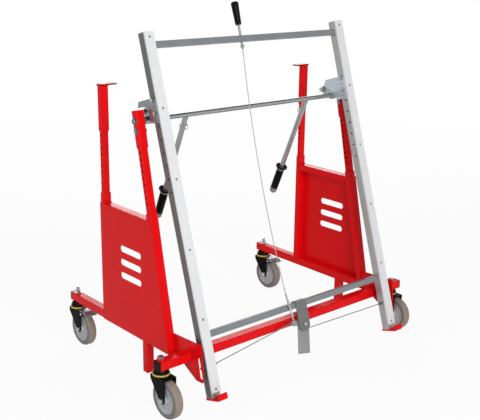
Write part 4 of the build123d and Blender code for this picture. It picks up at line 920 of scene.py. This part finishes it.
for label, side in SIDES:
    top = PIVOT + RIGHT * (side * HANDLE_X)
    for part, profile, closed, look in (
        ("flange", GRIP_FLANGE, True, None),
        ("collar", GRIP_COLLAR, True, COLLAR_LOOK),
        ("sleeve", GRIP_SLEEVE, True, None),
        # The tip's grey is a painted reflection
        ("tip", GRIP_TIP, False, COLLAR_LOOK),
    ):
        turned = Shape()
        turned.lathe(profile, top, -HANDLE_UP, GRIP_STEPS, closed)
        made = add_piece(f"grip_{part}_{label}", turned, "tilt_frame", "grip_rubber", look)
        if part == "sleeve" and label == "right":
            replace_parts(made, "handle_grips")

# Pull grip: a tapered moulding with a rounded top and a ringed foot
PULL_SIDE = -40.0
PULL_DEPTH = 20.0
PULL_FOOT = 1123.5
PULL_PROFILE = (
    (0.0, 0.8), (0.0, 4.2), (0.0, 9.0), (0.8, 10.2), (5.0, 10.4), (5.6, 9.9), (6.6, 9.9), (7.2, 10.6),
    (30.0, 11.2), (55.0, 12.2), (70.0, 12.9), (73.2, 12.4), (75.4, 10.8), (76.6, 8.0), (77.0, 4.0),
    (77.0, 0.8),
)
pull = Shape()
pull.lathe(PULL_PROFILE, on_rail(PULL_SIDE, PULL_FOOT, PULL_DEPTH), RAIL_UP, GRIP_STEPS)
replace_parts(add_piece("pull_handle", pull, "pull", "grip_rubber"), "pull_grip")

# Release cable: six strands laid round a core, with a loop and ferrules at its ends
CABLE_TOP_UP = 1045.0
CABLE_FOOT_UP = 226.0
CABLE_FOOT_SIDE = -62.0
BUCKLE_DEPTH = 5.5
CABLE_TOP = on_rail(PULL_SIDE, CABLE_TOP_UP, PULL_DEPTH)
CABLE_FOOT = on_rail(CABLE_FOOT_SIDE, CABLE_FOOT_UP, BUCKLE_DEPTH)
CABLE_BOW = 22.0 * MM
CORE_RADIUS = 0.62
STRANDS = 6
STRAND_RADIUS = 0.52
LAY_RADIUS = 0.98 * MM
LAY_LENGTH = 22.0 * MM
STEPS_PER_LAY = 10
FERRULE = ((0.0, 1.6), (0.8, 2.6), (13.0, 2.6), (14.0, 1.6))
FERRULE_FROM_TOP = 6.0 * MM
FERRULE_FROM_FOOT = 4.0 * MM
NEAR_END = 0.02
LOOP_ABOVE = 4.0 * MM
LOOP_HALF_WIDTH = 3.4 * MM
LOOP_HALF_LENGTH = 6.0 * MM
LOOP_WIRE = 1.1
LOOP_STEPS = 40


def along_cable(part):
    """A point of the bowed cable's middle line, from its top to its foot."""
    return CABLE_TOP.lerp(CABLE_FOOT, part) + RAIL_REAR * (CABLE_BOW * 4.0 * part * (1.0 - part))


first, second, _ = basis(CABLE_FOOT - CABLE_TOP)
steps = round((CABLE_FOOT - CABLE_TOP).length / LAY_LENGTH * STEPS_PER_LAY)
middle_line = [along_cable(step / steps) for step in range(steps + 1)]
cable = Shape()
cable.wire(middle_line, CORE_RADIUS)
for strand in range(STRANDS):
    path = []
    for step, point in enumerate(middle_line):
        turn = FULL_TURN * (strand / STRANDS + step / STEPS_PER_LAY)
        path.append(point + (first * math.cos(turn) + second * math.sin(turn)) * LAY_RADIUS)
    cable.wire(path, STRAND_RADIUS, sides=6)
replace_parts(add_piece("cable_strands", cable, "pull", "bright_steel", CABLE_LOOK), "release_cable")
top_axis = (along_cable(NEAR_END) - CABLE_TOP).normalized()
foot_axis = (along_cable(1.0 - NEAR_END) - CABLE_FOOT).normalized()
ends = Shape()
ends.lathe(FERRULE, CABLE_TOP + top_axis * FERRULE_FROM_TOP, top_axis, THIN_STEPS)
ends.lathe(FERRULE, CABLE_FOOT + foot_axis * FERRULE_FROM_FOOT, foot_axis, THIN_STEPS)
loop_middle = CABLE_TOP - top_axis * LOOP_ABOVE
loop_spokes = spokes(RAIL_REAR * LOOP_HALF_WIDTH, -top_axis * LOOP_HALF_LENGTH, LOOP_STEPS)
ends.wire([loop_middle + spoke for spoke in loop_spokes], LOOP_WIRE, closed=True)
add_piece("cable_ends", ends, "pull", "bright_steel", BUCKLE_LOOK)

# Turnbuckle: a sleeve between lock nuts on threaded ends, with an eye over the lever arm's pin
ARM_SIDE = -47.0
ARM_UP = 119.0
EYE_RISE = 6.95
EYE_RING = (
    (-2.5, 5.9), (-2.0, 5.4), (2.0, 5.4), (2.5, 5.9), (2.5, 8.0), (2.0, 8.5), (-2.0, 8.5), (-2.5, 8.0),
)
SLEEVE = (
    (0.0, 2.8), (0.6, 3.7), (8.0, 3.9), (9.0, 3.4), (38.0, 3.4), (39.0, 3.9), (46.4, 3.7), (47.0, 2.8),
)
SLEEVE_AT = 24.0
SLEEVE_STEPS = 32
LOCK_NUT = (4.6, 4.0)
LOCK_NUTS_AT = (20.0, 71.0)
END_RADIUS = 2.9
END_PITCH = 1.0
LOWER_END = 26.0
UPPER_END_AT = 70.0
UPPER_END_GAP = 0.5
buckle_foot = on_rail(ARM_SIDE, ARM_UP + EYE_RISE, BUCKLE_DEPTH)
buckle_run = CABLE_FOOT - buckle_foot
buckle_axis = buckle_run.normalized()
upper_end = buckle_run.length / MM - UPPER_END_AT - UPPER_END_GAP


def on_buckle(far):
    """A point of the turnbuckle's middle line, in millimetres from its foot."""
    return buckle_foot + buckle_axis * (far * MM)


buckle = Shape()
buckle.lathe(EYE_RING, on_rail(ARM_SIDE, ARM_UP, BUCKLE_DEPTH), RAIL_REAR, closed=True)
buckle.thread(buckle_foot, buckle_axis, END_RADIUS, LOWER_END, END_PITCH)
buckle.lathe(SLEEVE, on_buckle(SLEEVE_AT), buckle_axis, SLEEVE_STEPS)
for nut_at in LOCK_NUTS_AT:
    buckle.hexagon(on_buckle(nut_at), buckle_axis, *LOCK_NUT, both=True)
buckle.thread(on_buckle(UPPER_END_AT), buckle_axis, END_RADIUS, upper_end, END_PITCH)
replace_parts(add_piece("turnbuckle_set", buckle, "pull", "zinc_bolt", BUCKLE_LOOK), "turnbuckle")

# Latch springs: coils round the pins inside the rails
PIN_AT = (80.5, 18.0)
COIL_INSET = 3.5
COIL_LENGTH = 6.0 * MM
COIL_MEAN = 6.4 * MM
COIL_WIRE = 0.95
COIL_TURNS = 3.5
COIL_STEPS = 24
ALL_STEPS = int(COIL_TURNS * COIL_STEPS)
springs = Shape()
for _, side in SIDES:
    start = on_rail(side * (RAIL_INNER + COIL_INSET), *PIN_AT)
    path = []
    for step in range(ALL_STEPS + 1):
        turn = FULL_TURN * step / COIL_STEPS
        far = RIGHT * (side * COIL_LENGTH * step / ALL_STEPS)
        path.append(start + far + (RAIL_UP * math.cos(turn) + RAIL_REAR * math.sin(turn)) * COIL_MEAN)
    springs.wire(path, COIL_WIRE)
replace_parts(add_piece("spring_coils", springs, "tilt_frame", "bright_steel"), "latch_springs")

# Weld beads on the side frames
BEAD = 2.2
SMALL_BEAD = 0.8 * BEAD
FINE_BEAD = 0.7 * BEAD
STITCH_BEAD = 1.6
STITCHES = 3
STITCH_HALF = 12.0 * MM
STITCH_INSET = 30.0 * MM
STITCH_DEPTH = 0.8 * MM
PANEL_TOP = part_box("side_panel_right")[1].z
TOP_RAIL_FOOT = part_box("top_rails")[0].z
BEAM_DEPTH = 34.0 * MM
BEAM_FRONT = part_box("front_beam")[0].y
BEAM_BACK = BEAM_FRONT + BEAM_DEPTH
GUIDE_PLATE = 3.0 * MM
GUIDE_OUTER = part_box("guide_plates")[1].x
GUIDE_INNER = GUIDE_OUTER - GUIDE_PLATE
BOSS_HALF = 12.3 * MM
BOSS_LIFT = 2.0 * MM
BOSS_WELD = UP * (26.0 * MM)


def post_back_y(level):
    """Where a front post's back face stands at a height."""
    return PIVOT.y + (level - PIVOT.z) * math.tan(POST_SLANT) + POST_HALF / math.cos(POST_SLANT)


inner = INNER_X * MM
outer = OUTER_X * MM


def across_frame(y, level, start=inner):
    """A line across a side frame, from its inner or another side to its outer side."""
    return (start, y, level), (outer, y, level)


def up_post(low, high):
    """A line up the back edge of a front post, on the inner side."""
    return (inner, post_back_y(low), low), (inner, post_back_y(high), high)


weld_lines = [
    across_frame(rear_low.y, BAR_TOP),
    across_frame(rear_high.y, BAR_TOP),
    across_frame(rear_low.y, PANEL_TOP),
    ((inner, rear_low.y, TOP_RAIL_FOOT), (inner, rear_low.y, PANEL_TOP)),
    across_frame(post_back_y(PANEL_TOP), PANEL_TOP),
    up_post(TOP_RAIL_FOOT, PANEL_TOP),
    across_frame(post_back_y(BAR_TOP), BAR_TOP),
    up_post(BAR_BOTTOM, BAR_TOP),
    across_frame(socket_high.y, BAR_BOTTOM, outer - SOCKET_WIDTH),
    across_frame(socket_low.y, BAR_BOTTOM, outer - SOCKET_WIDTH),
]
for x in (GUIDE_OUTER, GUIDE_INNER):
    weld_lines.append(((x, BEAM_FRONT, BAR_TOP), (x, BEAM_BACK, BAR_TOP)))
    weld_lines.append(((x, BEAM_FRONT, BAR_BOTTOM), (x, BEAM_FRONT, BAR_TOP)))
boss_x = joints["castor_front_right_swivel"]["pos_m"][0]
frame_welds = Shape()
for _, side in SIDES:
    for level in (BAR_TOP, TOP_RAIL_FOOT):
        stitch_from = post_back_y(level) + STITCH_INSET
        stitch_run = (rear_low.y - STITCH_INSET - stitch_from) / (STITCHES - 1)
        for step in range(STITCHES):
            y = stitch_from + stitch_run * step
            stitch = Vector((side * (outer - STITCH_DEPTH), y, level))
            frame_welds.bead(stitch - BACK * STITCH_HALF, stitch + BACK * STITCH_HALF, STITCH_BEAD)
    for start, end in weld_lines:
        frame_welds.bead((side * start[0], *start[1:]), (side * end[0], *end[1:]), BEAD)
    for edge in (-BOSS_HALF, BOSS_HALF):
        foot = Vector((side * boss_x + edge, BEAM_BACK, BAR_BOTTOM + BOSS_LIFT))
        frame_welds.bead(foot, foot + BOSS_WELD, BEAD)
add_piece("frame_welds", frame_welds, "chassis", "red_paint")

# Weld beads under the rest plates
for label, side in SIDES:
    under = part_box(f"rear_head_{label}")[1].z - REST_PLATE
    rest_welds = Shape()
    for x in (inner, outer):
        rest_welds.bead((side * x, rear_low.y, under), (side * x, rear_high.y, under), SMALL_BEAD)
    for y in (rear_low.y, rear_high.y):
        rest_welds.bead((side * inner, y, under), (side * outer, y, under), FINE_BEAD)
    add_piece(f"rest_welds_{label}", rest_welds, f"rear_lift_{label}", "red_paint")

# Weld beads on the tilting frame
CROSS_HALF = 10.0
CROSS_WELD_HALF = 9.0
CROSS_AT = (1077.5, 175.5)
CROSS_DEPTH = 20.0
CROSSBAR_WELD = 8.6
RAIL_FOOT = -17.7
HOOK_WELDS = ((35.0, SMALL_BEAD), (6.0, FINE_BEAD))
rail_welds = Shape()
hook_welds = Shape()
near, far = CROSS_DEPTH - CROSS_WELD_HALF, CROSS_DEPTH + CROSS_WELD_HALF
for _, side in SIDES:
    x = side * RAIL_INNER
    for level in CROSS_AT:
        low, high = level - CROSS_WELD_HALF, level + CROSS_WELD_HALF
        for up in (level - CROSS_HALF, level + CROSS_HALF):
            rail_welds.bead(on_rail(x, up, near), on_rail(x, up, far), SMALL_BEAD)
        for back in (CROSS_DEPTH - CROSS_HALF, CROSS_DEPTH + CROSS_HALF):
            rail_welds.bead(on_rail(x, low, back), on_rail(x, high, back), SMALL_BEAD)
    rail_welds.ring_bead(on_rail(x, PIVOT_UP, PIVOT_BACK), RIGHT, CROSSBAR_WELD, FINE_BEAD)
    for back, radius in HOOK_WELDS:
        hook_welds.bead(on_rail(x, RAIL_FOOT, back), on_rail(side * RAIL_OUTER, RAIL_FOOT, back), radius)
add_piece("rail_welds", rail_welds, "tilt_frame", "rail_steel")
add_piece("hook_welds", hook_welds, "tilt_frame", "red_paint")

# Floor, light and world
MIDDLE = Vector((0.0, 0.0, 0.6))
FLOOR_STEPS = 96
FLOOR_LEVEL = -0.4 * MM
FLOOR_GREY = (0.86, 0.86, 0.86)
WHITE = (1.0, 1.0, 1.0)


def set_world(light, ceiling, edge):
    """A white surround, darker overhead, that lights the object at its own plain level."""
    world = bpy.data.worlds.new("studio")
    scene.world = world
    world.use_nodes = True
    graph = Graph(world.node_tree)
    background = world.node_tree.nodes["Background"]
    graph.feed(WHITE, background.inputs["Color"])
    direction = graph.node("ShaderNodeTexCoord").outputs["Generated"]
    height = graph.part(direction, "Z")
    seen = graph.span(height, 1.0, ceiling, edge, interpolation_type="SMOOTHSTEP")
    strength = graph.span(graph.background_rays(), light, seen, WHOLE)
    graph.link(strength, background.inputs["Strength"])


def add_floor(radius, clear, fade_end, lift):
    """A pale round floor that fades into the white background away from the object."""
    mesh = bpy.data.meshes.new("floor")
    rim = spokes(RIGHT * radius, BACK * radius, FLOOR_STEPS)
    mesh.from_pydata([(point.x, point.y, FLOOR_LEVEL) for point in rim], [], [tuple(range(FLOOR_STEPS))])
    floor = bpy.data.objects.new("floor", mesh)
    scene.collection.objects.link(floor)
    look = Look("floor")
    plain = look.node("ShaderNodeBsdfDiffuse")
    look.feed(FLOOR_GREY, plain.inputs["Color"])
    glow = look.node("ShaderNodeEmission")
    away = look.measure("LENGTH", look.place)
    fade = look.span(away, lift, 1.0, (clear, fade_end), interpolation_type="SMOOTHSTEP")
    mix = look.node("ShaderNodeMixShader")
    look.link(look.maths("MULTIPLY", fade, look.background_rays()), mix.inputs[0])
    look.link(plain.outputs[0], mix.inputs[1])
    look.link(glow.outputs[0], mix.inputs[2])
    look.link(mix.outputs[0], look.out.inputs["Surface"])
    mesh.materials.append(look.material)


def add_lamp(name, place, size, power):
    """A soft rectangular lamp that faces the middle of the object."""
    data = bpy.data.lights.new(name, "AREA")
    data.shape = "RECTANGLE"
    data.size, data.size_y = size
    data.energy = power
    lamp = bpy.data.objects.new(name, data)
    lamp.location = place
    lamp.rotation_euler = (MIDDLE - Vector(place)).to_track_quat("-Z", "Y").to_euler()
    scene.collection.objects.link(lamp)


set_world(light=0.32, ceiling=0.15, edge=(0.35, 0.75))
add_floor(radius=9.0, clear=1.4, fade_end=5.4, lift=0.92)
add_lamp("key", place=(-1.3, -4.1, 2.2), size=(2.2, 2.2), power=142.0)
add_lamp("side", place=(-3.6, -0.2, 3.0), size=(2.0, 2.0), power=40.0)
add_lamp("back", place=(1.9, 3.1, 1.9), size=(3.0, 1.4), power=46.0)
scene.view_settings.view_transform = "Standard"
